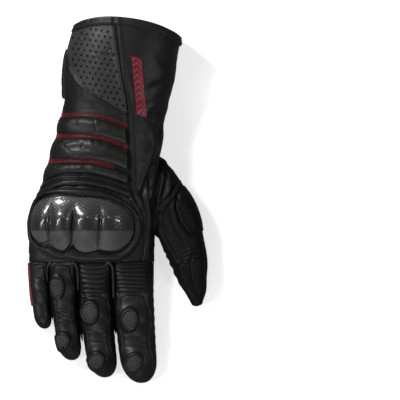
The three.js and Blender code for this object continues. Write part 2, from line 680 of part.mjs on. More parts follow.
// Pieces under the cuff and the palm. Across is -1 at the thumb's side and 1 at the outer one.
function palmPoint(y, across, lift) {
  const section = bodySection(y);
  return bodyPoint(y, angleAt(section, section.middle - across * section.half, -1), lift);
}
function cuffFlap() {
  const bottom = 0.4 * cuffLength;
  return cut(panelSolid(8, 4, (u, v, layer) => {
    const corner = 0.1 * Math.abs(2 * v - 1) ** 4 + 0.16 * v;
    const across = lerp(-0.97, 0.36 - corner, u);
    const section = bodySection(cuffLength);
    const angle = angleAt(section, section.middle - across * section.half, -1);
    const top = Math.min(mouthAt(angle) - bindingWidth - 1.5, 0.93 * cuffLength);
    return palmPoint(lerp(top, bottom - 3 * (1 - u), v), across, layer ? seamGap + flapThickness : sunk);
  }), body);
}
const strapTop = 0.31 * cuffLength;
const strapReach = 0.74;
function wristStrap() {
  return cut(panelSolid(10, 4, (u, v, layer) => {
    const point = clamp((u - 0.78) / 0.22, 0, 1);
    const middle = strapTop - strapWidth * 0.56;
    const across = lerp(-0.8, strapReach, u);
    const y = middle + strapWidth * (0.5 - v) * (1 - point * 0.82);
    return palmPoint(y, across, layer ? seamGap + strapThickness : sunk);
  }), body);
}
function strapKeeper() {
  const past = 2.5;
  return cut(panelSolid(3, 3, (u, v, layer) => {
    const section = bodySection(strapTop - v * strapWidth);
    const from = section.middle + 0.8 * section.half + 0.8;
    const angle = angleAt(section, from, -1) + (u * keeperWidth) / section.half;
    return bodyPoint(lerp(strapTop + past, strapTop - strapWidth - past, v), angle,
      layer ? seamGap + strapThickness * 0.8 : sunk);
  }), body);
}
const heelTop = -0.07 * handLength;
const heelBottom = -0.43 * handLength;
const heelStrip = -0.95 * handLength; // how far it runs on down the outer side
const heelInner = -0.28; // its edge towards the thumb
function heelSheet(top) {
  return panelSolid(10, 6, (u, v, layer) => {
    const y = lerp(heelTop, lerp(heelBottom, heelStrip, smoothstep(u, 0.5, 0.85)), v);
    const section = bodySection(y);
    const start = angleAt(section, section.middle - heelInner * section.half, -1);
    return bodyPoint(y, lerp(start, outerSeam + 0.03, u), layer ? top : sunk);
  });
}
const seatOfPatch = 2 * seamGap + heelPadThickness; // the heel patch lies on the heel pad
function heelPatch() {
  return cut(panelSolid(8, 5, (u, v, layer) => {
    const level = lerp(-0.17, -0.33, v) * handLength;
    const round = Math.sqrt(Math.max(0, 1 - (2 * v - 1) ** 2));
    const section = bodySection(level);
    const start = angleAt(section, section.middle - (0.02 - 0.06 * round) * section.half, -1);
    const angle = lerp(start, outerSeam + 0.06, u);
    const spread = 0.09 * handLength * u * v;
    return bodyPoint(level - spread, angle, layer ? seatOfPatch + heelPatchThickness : 0.5 * seatOfPatch);
  }), toManifold(heelSheet(seatOfPatch)));
}
const palmBandTop = -0.6 * handLength;
const palmBandBottom = -0.88 * handLength;
function palmPatch() {
  return cut(panelSolid(9, 4, (u, v, layer) => {
    const nose = clamp((u - 0.75) / 0.25, 0, 1) ** 2;
    const top = palmBandTop - 0.07 * handLength * u - 0.06 * handLength * nose;
    const bottom = palmBandBottom + 0.03 * handLength * u + 0.05 * handLength * nose;
    return palmPoint(lerp(top, bottom, v), lerp(-0.93, 0.55, u), layer ? seamGap + palmPatchThickness : sunk);
  }), body, gussetTrim);
}
const seatOfLabel = 2 * seamGap + palmPatchThickness;
function palmLabel() {
  const middle = lerp(palmBandTop, palmBandBottom, 0.55);
  return panelSolid(4, 1, (u, v, layer) => {
    const x = -palmOffset + 0.31 * palmWidth - u * palmLabelLength - v * 0.5 * palmLabelWidth;
    const y = middle + (0.5 - v) * palmLabelWidth + 0.06 * u * palmLabelLength;
    return new THREE.Vector3(x, y, restHeight - seatOfLabel - (layer ? labelThickness : 0));
  });
}

// The ribbed panel and the armoured shell on the thumb's back, over its table's own sections.
function thumbBack(along, across, lift) {
  const row = { along };
  for (const name of ["out", "half", "high", "turn", "rest"]) row[name] = column(thumbRows, name, along);
  const { centre, side, section } = thumbSection(row, 0);
  const share = clamp(Math.abs(across), 0, 0.98);
  const z = lerp(section.widest, section.top, (1 - share ** section.square) ** (1 / section.square));
  return centre.clone().addScaledVector(side, across * section.half).setZ(z + lift);
}
function thumbGuard() {
  return cut(panelSolid(5, 7, (u, v, layer) => {
    const oval = 0.35 + 0.65 * Math.sin(Math.PI * lerp(0.12, 0.88, v));
    const puff = thumbGuardThickness * (0.4 + 0.6 * Math.sin(Math.PI * u) * Math.sin(Math.PI * v));
    const across = 0.28 + (u - 0.5) * 0.95 * oval;
    return thumbBack(lerp(-0.62, -0.07, v), across, layer ? seamGap + puff : sunk);
  }), gussetTrim, body);
}
function thumbStretch() {
  const count = 3;
  return cut(panelSolid(2, count * 4, (u, v, layer) => {
    const height = seamGap + 0.7 * stretchDepth * ribs(v, count);
    return thumbBack(lerp(0.03, 0.26, v), lerp(-0.1, 0.8, u), layer ? height : sunk);
  }), stallTrim);
}

// Colours and finishes
function material(colour, roughness, metalness = 0) {
  return new THREE.MeshStandardMaterial({ color: colour, roughness, metalness });
}
const blackLeather = material(0x1c1c1d, 0.5);
const perforatedLeather = material(0x2a2a2b, 0.6);
const bindingLeather = material(0x161617, 0.55);
const carbonShell = material(0x101012, 0.15, 0.2);
const meshFabric = material(0x0c0c0d, 0.8);
const gripFabric = material(0x202122, 0.75);
const aramidWeave = material(0x77775a, 0.85);
const redRubber = material(0xa3122a, 0.45);

const glove = new THREE.Group();
function add(name, geometry, finish) {
  const mesh = new THREE.Mesh(geometry, finish);
  mesh.name = name;
  glove.add(mesh);
}
add("cuff_shell", cuffShell, blackLeather);
add("cuff_binding", binding(), bindingLeather);
add("hand_shell", handShell, blackLeather);
add("thumb_gusset", thumbGusset(), blackLeather);
add("thumb_stall", thumbStall(), blackLeather);
for (const finger of fingers) {
  add(finger.name + "_finger", fingerStall(finger), blackLeather);
  if (finger.stretch) add(finger.name + "_stretch_panel", stretchPanel(finger), blackLeather);
  finger.vents.forEach((at, i) =>
    add(`${finger.name}_vent_${i + 1}`, vent(finger, at, ventWidth, ventLength - 2.5 * i, 0.3 * i), meshFabric));
}
add("little_side_pad", sidePad(fingers[3]), blackLeather);
add("touch_pad", touchPad(fingers[0]), gripFabric);
add("knuckle_guard", knuckleGuard(), carbonShell);
add("knuckle_welt", knuckleWelt(), blackLeather);
quiltRows.forEach((row, i) => add(`wrist_pad_${i + 1}`, wristPad(row), blackLeather));
add("perforated_panel", perforatedPanel(), perforatedLeather);
add("cuff_label", cuffLabel(), redRubber);
add("side_pleat", sidePleat(), blackLeather);
add("cuff_flap", cuffFlap(), blackLeather);
add("wrist_strap", wristStrap(), blackLeather);
add("strap_keeper", strapKeeper(), bindingLeather);
add("heel_pad", cut(heelSheet(seamGap + heelPadThickness), body), blackLeather);
add("heel_patch", heelPatch(), aramidWeave);
add("palm_patch", palmPatch(), gripFabric);
add("palm_label", palmLabel(), redRubber);
add("thumb_guard", thumbGuard(), blackLeather);
add("thumb_stretch_panel", thumbStretch(), blackLeather);

// The origin is under the middle of the whole glove, on the table.
const bounds = new THREE.Box3().setFromObject(glove);
const centre = bounds.getCenter(new THREE.Vector3());
glove.position.set(-centre.x, -centre.y, -bounds.min.z);
const part = new THREE.Group().add(glove);

export default part;
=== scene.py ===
import math
import bpy
import mathutils
import numpy as np
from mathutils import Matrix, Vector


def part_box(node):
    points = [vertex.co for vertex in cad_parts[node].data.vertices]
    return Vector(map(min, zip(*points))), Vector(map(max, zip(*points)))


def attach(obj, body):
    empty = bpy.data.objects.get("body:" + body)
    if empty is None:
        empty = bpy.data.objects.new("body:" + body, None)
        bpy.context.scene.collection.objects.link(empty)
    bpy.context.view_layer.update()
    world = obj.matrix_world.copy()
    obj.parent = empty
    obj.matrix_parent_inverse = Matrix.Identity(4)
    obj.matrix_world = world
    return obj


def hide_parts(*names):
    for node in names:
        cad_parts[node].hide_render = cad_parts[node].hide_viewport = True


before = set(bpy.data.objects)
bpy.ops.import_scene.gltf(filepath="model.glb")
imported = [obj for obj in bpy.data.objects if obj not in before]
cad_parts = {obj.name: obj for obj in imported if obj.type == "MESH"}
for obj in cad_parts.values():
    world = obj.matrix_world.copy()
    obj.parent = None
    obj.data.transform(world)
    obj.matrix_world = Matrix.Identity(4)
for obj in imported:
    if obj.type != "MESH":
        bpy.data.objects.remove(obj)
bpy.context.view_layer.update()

# Working space: millimetres, y = 0 at the wrist seam, fingers towards -y, thumb towards +x, floor at z = 0.
photo = {"x": 114.5, "y": 110, "pixel": 0.9}  # the pixel where x and y are 0, and the mm in one pixel
handLow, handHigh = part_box("hand_shell")
shiftX = handLow[0] * 1000 + 77.4  # from this space to the CAD's
shiftY = handHigh[1] * 1000 + 0.15

sizes = {
    "cuffLength": 69.3, "cuffHeight": 61.0, "mouthWidth": 97.0, "mouthOffset": 12.0, "mouthSlant": 0.122,
    "backRise": 11.3, "palmRise": 8.0, "wristWidth": 94.5, "wristHeight": 50.0, "handLength": 137.0,
    "palmWidth": 113.0, "palmOffset": 20.9, "rootHeight": 33.0, "rest": 3.3, "leather": 1.8,
    "fingerHeight": 30.0, "thumbWidth": 37.5, "thumbHeight": 31.0, "thumbReach": 54.0,
}
rootY = -sizes["handLength"] - 0.3  # where the fingers start

# along, left, right, top
cuffRows = np.array([[0, 0, 0, 0], [0.13, 0.17, 0.1, 0.27], [0.4, 0.17, 0.47, 0.64], [0.67, 0.33, 0.73, 0.91],
                     [0.88, 0.67, 0.93, 1], [1.07, 1, 1, 1], [1.4, 1.3, 1.1, 0.98]])
handRows = np.array([[0, 0, 0, 0], [0.07, 0.06, 0.23, 0.04], [0.2, 0.18, 0.31, 0.06], [0.33, 0.36, 0.62, 0.08],
                     [0.46, 0.54, 0.85, 0.1], [0.59, 0.78, 0.92, 0.16], [0.72, 0.93, 0.92, 0.34],
                     [0.86, 0.97, 0.96, 0.66], [1, 1, 1, 1]])
# along, width, top, rest, square
fingerRows = np.array([[0, 1, 1, 1, 6], [0.15, 0.98, 0.94, 0.6, 3.4], [0.3, 0.955, 0.9, 0.15, 2.8],
                       [0.47, 0.95, 0.99, 0, 2.4], [0.63, 0.92, 0.8, 0, 2.3], [0.8, 0.88, 0.78, 0, 2.2],
                       [1, 0.8, 0.62, 0, 2.1]])
# along, out, half, high, turn, rest
thumbRows = np.array([[-0.93, -0.45, 0.98, 0.9, 30, 1], [-0.87, -0.05, 0.95, 1.06, 24, 1],
                      [-0.64, 0.34, 0.73, 1.1, 24, 1], [-0.37, 0.57, 0.62, 1.06, 41, 0.8],
                      [0, 0.74, 0.5, 1, 66, 0.25], [0.29, 0.85, 0.44, 0.94, 80, 0], [0.56, 0.92, 0.35, 0.86, 84, 0],
                      [0.78, 1.01, 0.24, 0.7, 82, 0], [0.94, 1.03, 0.14, 0.46, 80, 0]])
fingers = {
    "index": {"length": 109.0, "share": 0.335, "lean": 0.066, "height": 1.0, "rest": 1.2, "stretch": 0.25,
              "ribs": 7, "aside": -0.22, "vents": [0.47, 0.83], "bosses": [0.47, 0.83]},
    "middle": {"length": 104.0, "share": 0.279, "lean": 0.087, "height": 1.03, "rest": 0, "stretch": 0.27,
               "ribs": 6, "aside": -0.34, "vents": [0.43, 0.86], "bosses": [0.43, 0.86]},
    "ring": {"length": 88.5, "share": 0.223, "lean": 0.085, "height": 0.97, "rest": 0, "stretch": 0,
             "ribs": 0, "aside": -0.5, "vents": [0.25, 0.81], "bosses": [0.25, 0.81]},
    "little": {"length": 60.0, "share": 0.163, "lean": 0.08, "height": 0.84, "rest": 0, "stretch": 0,
               "ribs": 0, "aside": 0, "vents": [], "bosses": [0.35]},
}


def smooth(x, a, b):  # 0 below a, 1 above b, a cubic between
    t = np.clip((x - a) / (b - a), 0, 1)
    return t * t * (3 - 2 * t)


def hump(x, centre, width):  # a bell of height 1
    return np.exp(-((x - centre) / width) ** 2)


def mix(a, b, t):  # a at 0, b at 1, a straight line between
    return a + (b - a) * t


def power(c, p):  # signed power, for superellipses
    return np.sign(c) * np.abs(c) ** p


def joined(x, y, z):  # three arrays as one of points
    return np.stack(np.broadcast_arrays(x, y, z), -1)


def unit(v):  # vectors at length 1
    return v / np.maximum(np.linalg.norm(v, axis=-1, keepdims=True), 1e-9)


def columnAt(rows, index, at):  # smooth curve through one column of a table, flat past its ends
    xs, ys = rows[:, 0], rows[:, index]
    at = np.asarray(at, float)
    i = np.clip(np.searchsorted(xs, at, side="left") - 1, 0, len(xs) - 2)
    slope = lambda a, b: (ys[b] - ys[a]) / (xs[b] - xs[a])
    before = slope(np.maximum(i - 1, 0), i + 1)
    after = slope(i, np.minimum(i + 2, len(xs) - 1))
    step = xs[i + 1] - xs[i]
    t = np.clip((at - xs[i]) / step, 0, 1)
    t2, t3 = t * t, t * t * t
    return ((2 * t3 - 3 * t2 + 1) * ys[i] + (t3 - 2 * t2 + t) * step * before
            + (3 * t2 - 2 * t3) * ys[i + 1] + (t3 - t2) * step * after)


latticeSide, latticeOf = 32, {}


def noise(x, y, z, scale, seed):  # trilinear value noise between -1 and 1 on a seeded lattice, repeated
    if seed not in latticeOf:
        latticeOf[seed] = np.random.default_rng(seed).uniform(-1, 1, (latticeSide,) * 3)
    p = [np.asarray(v, float) / scale for v in (x, y, z)]
    i = [np.floor(v).astype(int) for v in p]
    f = [v - k for v, k in zip(p, i)]
    f = [v * v * (3 - 2 * v) for v in f]
    total = 0
    for a, b, c in np.ndindex(2, 2, 2):
        w = (f[0] if a else 1 - f[0]) * (f[1] if b else 1 - f[1]) * (f[2] if c else 1 - f[2])
        total = total + w * latticeOf[seed][tuple((k + d) % latticeSide for k, d in zip(i, (a, b, c)))]
    return total


def toPath(x, y, path):  # distance of plan points from a polyline, and the share of its length at the foot
    path = np.asarray(path, float)
    best = np.full(np.shape(x), 1e9)
    along = np.zeros(np.shape(x))
    lengths = np.hypot(*(path[1:] - path[:-1]).T)
    before = 0
    for a, b, n in zip(path[:-1], path[1:], lengths):
        t = np.clip(((x - a[0]) * (b[0] - a[0]) + (y - a[1]) * (b[1] - a[1])) / n ** 2, 0, 1)
        d = np.hypot(x - a[0] - t * (b[0] - a[0]), y - a[1] - t * (b[1] - a[1]))
        near = d < best
        best = np.where(near, d, best)
        along = np.where(near, (before + t * n) / lengths.sum(), along)
        before += n
    return best, along


def fromPhoto(points):  # plan positions of pixels of the photograph
    p = np.asarray(points, float)
    return np.stack([(p[:, 0] - photo["x"]) * photo["pixel"], (photo["y"] - p[:, 1]) * photo["pixel"]], 1)


def toPhoto(x, y):  # the pixel of a plan position
    return x / photo["pixel"] + photo["x"], photo["y"] - y / photo["pixel"]


def throughPoints(points, step):  # evenly spaced points on a smooth curve through a few
    p = np.asarray(points, float)
    knots = np.r_[0, np.cumsum(np.linalg.norm(p[1:] - p[:-1], axis=1))]
    fine = np.linspace(0, knots[-1], max(int(knots[-1] / step), 2) + 1)
    rows = np.column_stack([knots, p])
    return np.column_stack([columnAt(rows, k + 1, fine) for k in range(p.shape[1])])


def sectionOf(middle, half, bottom, top, square):  # an upright section, widest at 42% of its height
    return {"middle": middle, "half": half, "bottom": bottom, "top": top, "square": square,
            "widest": mix(bottom, top, 0.42)}


def onSection(s, angle):  # superellipse, its underside flattened where it rests
    across = power(np.cos(angle), 2 / s["square"])
    up = np.abs(np.sin(angle)) ** (2 / s["square"])
    under = np.maximum(s["bottom"], s["widest"] - (s["widest"] - s["bottom"]) * 1.2 * up)
    over = s["widest"] + (s["top"] - s["widest"]) * up
    return s["middle"] + s["half"] * across, np.where(np.sin(angle) >= 0, over, under)


def lifted(s, angle, lift):  # moved outwards by lift, square to the section's outline
    x, z = onSection(s, angle)
    x1, z1 = onSection(s, angle - 0.012)
    x2, z2 = onSection(s, angle + 0.012)
    run = np.maximum(np.hypot(x2 - x1, z2 - z1), 1e-9)
    return x + lift * (z2 - z1) / run, z - lift * (x2 - x1) / run


def angleAt(s, x, side):  # the angle where a section's outline passes x, above for side 1, below for -1
    share = np.clip((x - s["middle"]) / s["half"], -0.999, 0.999)
    a = np.arccos(power(share, s["square"] / 2))
    return a if side > 0 else 2 * math.pi - a


def bodySection(y):  # sides and top of cuff or hand: their shares in the tables between the wrist's and the end's
    y = np.asarray(y, float)
    cuff, hand = y > 0, np.clip(-y / sizes["handLength"], 0, 1)
    at = np.clip(y / sizes["cuffLength"], 0, 1.4)
    pick = lambda k: np.where(cuff, columnAt(cuffRows, k, at), columnAt(handRows, k, hand))
    middle = np.where(cuff, sizes["mouthOffset"], -sizes["palmOffset"])
    half = np.where(cuff, sizes["mouthWidth"], sizes["palmWidth"]) / 2
    left = mix(-sizes["wristWidth"] / 2, middle - half, pick(1))
    right = mix(sizes["wristWidth"] / 2, middle + half, pick(2))
    high = np.where(cuff, sizes["cuffHeight"], sizes["rootHeight"])
    top = sizes["rest"] + mix(sizes["wristHeight"], high, pick(3))
    square = np.where(cuff, 2.2, mix(2.2, 2.5, hand))
    return sectionOf((left + right) / 2, (right - left) / 2, sizes["rest"] + 0 * y, top, square)


def mouthAt(angle):  # the mouth's edge: slanted, and arched over the back and the palm
    s = bodySection(sizes["cuffLength"])
    x, _ = onSection(s, angle)
    rise = np.where(np.sin(angle) > 0, sizes["backRise"], sizes["palmRise"])
    return sizes["cuffLength"] - sizes["mouthSlant"] * (x - s["middle"]) + rise * np.abs(np.sin(angle)) ** 1.5


def backHeight(x, y):  # height of the plain back over a plan position: the section's upper superellipse
    s = bodySection(y)
    share = np.clip(np.abs(x - s["middle"]) / s["half"], 0, 1)
    return s["widest"] + (s["top"] - s["widest"]) * (1 - share ** s["square"]) ** (1 / s["square"])


body = {
    "around": 330, "cuffRows": 92, "handRows": 168, "lining": 22, "gather": 0.45,
    "padHeight": 4.6, "creaseDepth": 1.3, "wrinkle": 0.34, "crinkle": 0.52, "seamDepth": 1.6, "tuckDepth": 1.5,
    # the quilting's length, its red channels, and start, end, height and roundness of each pad between them
    "quiltSpan": 70.4, "quiltLines": [0.064, 0.332, 0.652],
    "pads": [[0.075, 0.32, 0.8, 0.75], [0.345, 0.64, 1, 0.7], [0.665, 0.82, 0.85, 0.8], [0.835, 0.875, 0.42, 1],
             [0.885, 0.97, 0.5, 0.8]],
    "tucks": [(0.828, 1), (0.88, 0.75), (0.978, 0.8)],  # place and depth
    "longSeam": fromPhoto([(114.6, 16), (115.5, 24.5), (117.6, 41), (119.6, 57), (122.7, 78), (126.7, 98),
                           (128.8, 117), (129.8, 141), (130.8, 161), (130.8, 187), (135, 197), (142, 207),
                           (144.5, 222), (145, 240), (143, 258)]),
    "panelEdge": fromPhoto([(74, 26), (68.4, 45), (69, 60), (73, 72), (80, 82), (90, 91), (100, 98),
                            (115, 107), (127.5, 114)]),
    # path in the photograph, depth and width of each crease on the back
    "creases": [
        [[(161, 122), (158, 134), (161, 147), (154, 165), (148, 178), (143, 190), (137, 201)], 1.35, 2.0],
        [[(152, 168), (150, 186), (152, 205), (154, 222), (155, 240)], 2.4, 2.0],
        [[(146, 176), (143, 196), (146, 212), (149, 232)], 0.9, 1.3],
        [[(131, 190), (136, 202), (143, 214)], 0.7, 1.2],
        [[(147, 250), (146, 275), (149, 300)], 0.6, 1.2],
        [[(160, 58), (170, 66), (176, 70)], 0.5, 3.5],
        [[(146, 92), (156, 86), (170, 84)], 0.55, 3.0],
        [[(148, 118), (157, 112), (167, 113)], 0.9, 2.6],
        [[(63, 62), (62, 80), (63, 98), (60, 112)], 1.0, 1.3],
        [[(72, 101), (90, 106), (106, 113)], 0.4, 3.5],
        [[(74, 126), (92, 128), (104, 127)], 0.5, 2.2],
        [[(62, 150), (84, 147), (100, 152)], 0.45, 2.4],
        [[(66, 183), (84, 184), (104, 189), (122, 196)], 0.5, 1.1],
    ],
}


def quiltFall(x, level=0.0):  # how far a quilting line sinks: as a square towards the thumb and the outer side
    lower = smooth(level, 0.6, 0.95)
    return (0.155 * body["quiltSpan"] * np.clip((x + 30.7) / 44.4, 0, 1) ** 2
            + 0.013 * lower * np.clip(-x - 40, 0, 40) ** 2)


def alongLine(path, y):  # x where a plan path that runs down the hand passes y
    return np.interp(y, path[::-1, 1], path[::-1, 0])


def bodyLift(y, angle):  # sum of the pads' arches, the channels, tucks, seams and creases as bells, and noise
    s = bodySection(y)
    x, z = onSection(s, angle)
    up = np.sin(angle)
    back = smooth(up, -0.25, 0.1)
    lift = np.zeros(np.shape(x))
    q = -(y + quiltFall(x)) / body["quiltSpan"]
    q = -(y + quiltFall(x, q)) / body["quiltSpan"]
    q = q + 0.006 * noise(x, y, z, 13, 8)
    across = x - alongLine(body["longSeam"], y)
    side = smooth(-1.2 - across, 0, 3.0) * back * mix(0.68, 1, smooth(up, 0.1, 0.8))
    dents = 1 + 0.22 * noise(x, y, z, 15, 9)
    for start, end, high, roundness in body["pads"]:
        t = np.clip((q - start) / (end - start), 0, 1)
        lift += body["padHeight"] * high * dents * np.sin(np.pi * t) ** roundness * side
    fine = hump(noise(x + 2.5 * noise(x, y, z, 7, 15), y * 1.5, z, 12, 16), 0, 0.09)
    lift -= body["crinkle"] * fine * smooth(noise(x, y, z, 16, 17), -0.3, 0.3) * side
    pucker = np.sin(x * 0.8 + 2.6 * noise(x, y, z, 12, 10))
    for line in body["quiltLines"]:
        lift -= 0.6 * hump(q, line, 0.02) * side
        lift += 0.13 * pucker * hump(q, line + 0.06, 0.05) * side
    for line, deep in body["tucks"]:
        lift -= body["tuckDepth"] * deep * hump(q + 0.008 * noise(x, y, z, 9, 13), line, 0.011) * side
    top = smooth(up, 0.0, 0.12) * smooth(y, -140, -128)
    lift -= body["seamDepth"] * hump(across, 0, 0.85) * top
    lift += (0.7 * hump(across, 2.4, 2.2) + 0.7 * hump(across, -2.3, 2.2) - 0.5 * hump(across, 2.1, 0.55)
             - 0.5 * hump(across, -2.0, 0.55)) * top
    edge, _ = toPath(x, y, body["panelEdge"])
    inside = (x > alongLine(body["panelEdge"], y)) & (across < 0) & (y > -3)
    lines = 1.6 * hump(edge, 0.9, 0.55) + 0.7 * hump(edge, 3.4, 0.6)
    lift += np.where(inside, -0.6 * smooth(edge, 0, 1.2), 0.7 * hump(edge, 2.0, 3.0) - lines) * top
    for path, depth, width in body["creases"]:
        d, t = toPath(x, y, fromPhoto(path))
        fade = np.sin(np.pi * np.clip(t, 0.03, 0.97)) ** 0.5
        lift += body["creaseDepth"] * depth * fade * (0.55 * hump(d, 2.2 * width, 1.2 * width)
                                                      - hump(d, 0, width)) * top
    gather = np.sin(y * 0.55 + 1.7 * np.sin(x * 0.09) + x * 0.03)  # the wrist's soft folds under the hand
    lift += (1 - back) * 0.5 * gather * hump(y, 4, 26) * smooth(z, 3.6, 9)
    small = noise(x, y, z, 9, 3) * 0.6 + noise(x, y, z, 4.2, 4) * 0.3
    lift += body["wrinkle"] * small * smooth(z, 3.4, 6)
    lift += 0.9 * noise(x, y, z, 26, 5) * smooth(y, -40, 20) * smooth(z, 3.4, 9) * (1 - 0.6 * side)
    return lift - smooth(-y, 134.5, 137) * smooth(up, 0.1, 0.5)


def bodyPoint(y, angle, lift):  # the dressed body's surface, raised by lift
    y, angle = np.broadcast_arrays(np.asarray(y, float), np.asarray(angle, float))
    x, z = lifted(bodySection(y), angle, lift + bodyLift(y, angle))
    return joined(x, y, z)


def onBack(x, y, lift):  # over the back of the dressed body, above a plan position
    return bodyPoint(y, angleAt(bodySection(y), x, 1), lift)


def palmPoint(y, across, lift):  # under the dressed body, across from -1 at the thumb's side to 1
    s = bodySection(y)
    return bodyPoint(y, angleAt(s, s["middle"] - across * s["half"], -1), lift)


def makePiece(name, points, faces, finish, replaced=(), attributes={}):
    # Points and faces become a smooth mesh in metres; the attributes are one number for each point.
    points, faces = np.asarray(points, np.float32).reshape(-1, 3), np.asarray(faces, np.int32)
    world = (points + np.array([shiftX, shiftY, 0])) / 1000
    count, corners = faces.shape
    mesh = bpy.data.meshes.new(name)
    mesh.vertices.add(len(points))
    mesh.vertices.foreach_set("co", world.astype(np.float32).ravel())
    mesh.loops.add(faces.size)
    mesh.loops.foreach_set("vertex_index", faces.ravel())
    mesh.polygons.add(count)
    mesh.polygons.foreach_set("loop_start", np.arange(count, dtype=np.int32) * corners)
    mesh.polygons.foreach_set("loop_total", np.full(count, corners, np.int32))
    mesh.update(calc_edges=True)
    mesh.polygons.foreach_set("use_smooth", np.ones(count, bool))
    for key, values in attributes.items():
        mesh.attributes.new(key, "FLOAT", "POINT").data.foreach_set("value", np.asarray(values, np.float32).ravel())
    mesh.validate(clean_customdata=False)
    mesh.materials.append(finishes[finish])
    piece = bpy.data.objects.new(name, mesh)
    bpy.context.scene.collection.objects.link(piece)
    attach(piece, "root")
    if replaced:
        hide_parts(*replaced)
    return piece


def gridFaces(rows, columns, wrapRows=False, wrapColumns=False, flip=False):  # quads between a grid's points
    r = np.arange(rows if wrapRows else rows - 1)
    c = np.arange(columns if wrapColumns else columns - 1)
    i, j = np.meshgrid(r, c, indexing="ij")
    i2, j2 = (i + 1) % rows, (j + 1) % columns
    quads = np.stack([i * columns + j, i * columns + j2, i2 * columns + j2, i2 * columns + j], -1).reshape(-1, 4)
    return quads[:, ::-1] if flip else quads


def outwards(points, faces):  # turns the faces so that a closed form has positive volume
    p = points.reshape(-1, 3)
    a, b, c, d = (p[faces[:, k]] for k in range(4))
    volume = np.einsum("ij,ij->", a, np.cross(b, c)) + np.einsum("ij,ij->", a, np.cross(c, d))
    return faces if volume > 0 else faces[:, ::-1]


def faced(points, faces, out):  # turns the faces so that they look along out
    a, b, c = (points.reshape(-1, 3)[faces[:, k]] for k in range(3))
    along = np.einsum("ij,ij->", np.cross(b - a, c - a), out.reshape(-1, 3)[faces[:, 0]])
    return faces if along > 0 else faces[:, ::-1]


def circle(count):  # angles evenly round a full turn
    return np.linspace(0, 2 * math.pi, count, endpoint=False)


def laid(place, x, y, lift, wrap=False):  # points over a sheet's places, and its quads facing outwards
    points = place(x, y, lift)
    return points, faced(points, gridFaces(*x.shape, wrapColumns=wrap), place(x, y, lift + 1) - points)


def spread(count):  # shares from 0 to 1, closer together near both ends, and both ends once more
    t = np.linspace(0, 1, count)
    return np.r_[0, mix(t, 0.5 - 0.5 * np.cos(np.pi * t), 0.8), 1]


print("tables and helpers ready")


def fill(tree, node, sockets):  # each socket gets a plain value, or a link from another node's output
    for key, value in sockets.items():
        if isinstance(value, bpy.types.NodeSocket):
            tree.links.new(value, node.inputs[key])
        else:
            node.inputs[key].default_value = value


def addNode(tree, kind, sockets={}, **settings):  # a new shader node with its settings and sockets
    node = tree.nodes.new("ShaderNode" + kind)
    for key, value in settings.items():
        setattr(node, key, value)
    fill(tree, node, sockets)
    return node


def mathNode(tree, operation, a, b=0.5):  # a sum, product or other reckoning of one or two numbers
    return addNode(tree, "Math", {0: a, 1: b}, operation=operation).outputs[0]


def times(tree, a, b):  # a product
    return mathNode(tree, "MULTIPLY", a, b)


def plus(tree, a, b):  # a sum
    return mathNode(tree, "ADD", a, b)


def mapped(tree, source, low, high, toLow=0, toHigh=1):  # the span low to high drawn out to toLow to toHigh
    return addNode(tree, "MapRange", {0: source, 1: low, 2: high, 3: toLow, 4: toHigh}).outputs[0]


def blended(tree, share, first, second, kind="MIX"):  # the second colour over the first, by a share
    first, second = ((*c, 1) if isinstance(c, tuple) else c for c in (first, second))
    return addNode(tree, "MixRGB", {0: share, 1: first, 2: second}, blend_type=kind).outputs[0]


def ownPlace(tree):  # the object's own coordinates
    return addNode(tree, "TexCoord").outputs["Object"]


def noiseNode(tree, place, scale, detail=2):  # cloudy noise between 0 and 1
    return addNode(tree, "TexNoise", {"Vector": place, "Scale": scale, "Detail": detail}).outputs["Fac"]


def attribute(tree, name):  # a number that the mesh carries at its points
    return addNode(tree, "Attribute", attribute_name=name).outputs["Fac"]


def newMaterial(name):  # a material and its node tree
    material = bpy.data.materials.new(name)
    material.use_nodes = True
    return material, material.node_tree


def finished(material, tree, sockets, height, strength, distance=0.0005):  # the shader's sockets and its relief
    relief = addNode(tree, "Bump", {"Strength": strength, "Distance": distance, "Height": height})
    fill(tree, tree.nodes["Principled BSDF"], {**sockets, "Normal": relief.outputs[0]})
    return material


def leatherGroup():  # pebbled grain with pores and faint rubbing: height, a colour factor and a gloss factor
    tree = bpy.data.node_groups.new("leatherGrain", "ShaderNodeTree")
    for way, key, kind in (("INPUT", "Vector", "Vector"), ("INPUT", "Size", "Float"), ("OUTPUT", "Height", "Float"),
                           ("OUTPUT", "Tone", "Float"), ("OUTPUT", "Gloss", "Float")):
        tree.interface.new_socket(key, in_out=way, socket_type="NodeSocket" + kind)
    start, end = tree.nodes.new("NodeGroupInput").outputs, tree.nodes.new("NodeGroupOutput")
    cells = addNode(tree, "TexVoronoi", {"Vector": start["Vector"], "Scale": start["Size"]},
                    feature="DISTANCE_TO_EDGE")
    pebble = times(tree, mapped(tree, cells.outputs["Distance"], 0, 0.18), 0.55)
    fine, broad = noiseNode(tree, start["Vector"], 420, 5), noiseNode(tree, start["Vector"], 38, 4)
    fill(tree, end, {
        "Height": plus(tree, pebble, times(tree, fine, 0.6)),
        "Tone": mapped(tree, broad, 0.3, 0.7, 0.72, 1.3), "Gloss": mapped(tree, fine, 0.25, 0.75, -0.06, 0.07)})
    return tree


leatherGrain = leatherGroup()


def grained(tree, size):  # the shared grain at a size
    return addNode(tree, "Group", {"Vector": ownPlace(tree), "Size": size}, node_tree=leatherGrain).outputs


def leatherMaterial(name, colour, roughness, size, bump, specular=0.3):  # colour and roughness stirred by the grain
    material, tree = newMaterial(name)
    grain = grained(tree, size)
    return finished(material, tree, {
        "Base Color": blended(tree, 1, colour, grain["Tone"], "MULTIPLY"),
        "Roughness": plus(tree, grain["Gloss"], roughness), "Specular IOR Level": specular,
    }, grain["Height"], bump, 0.0004)


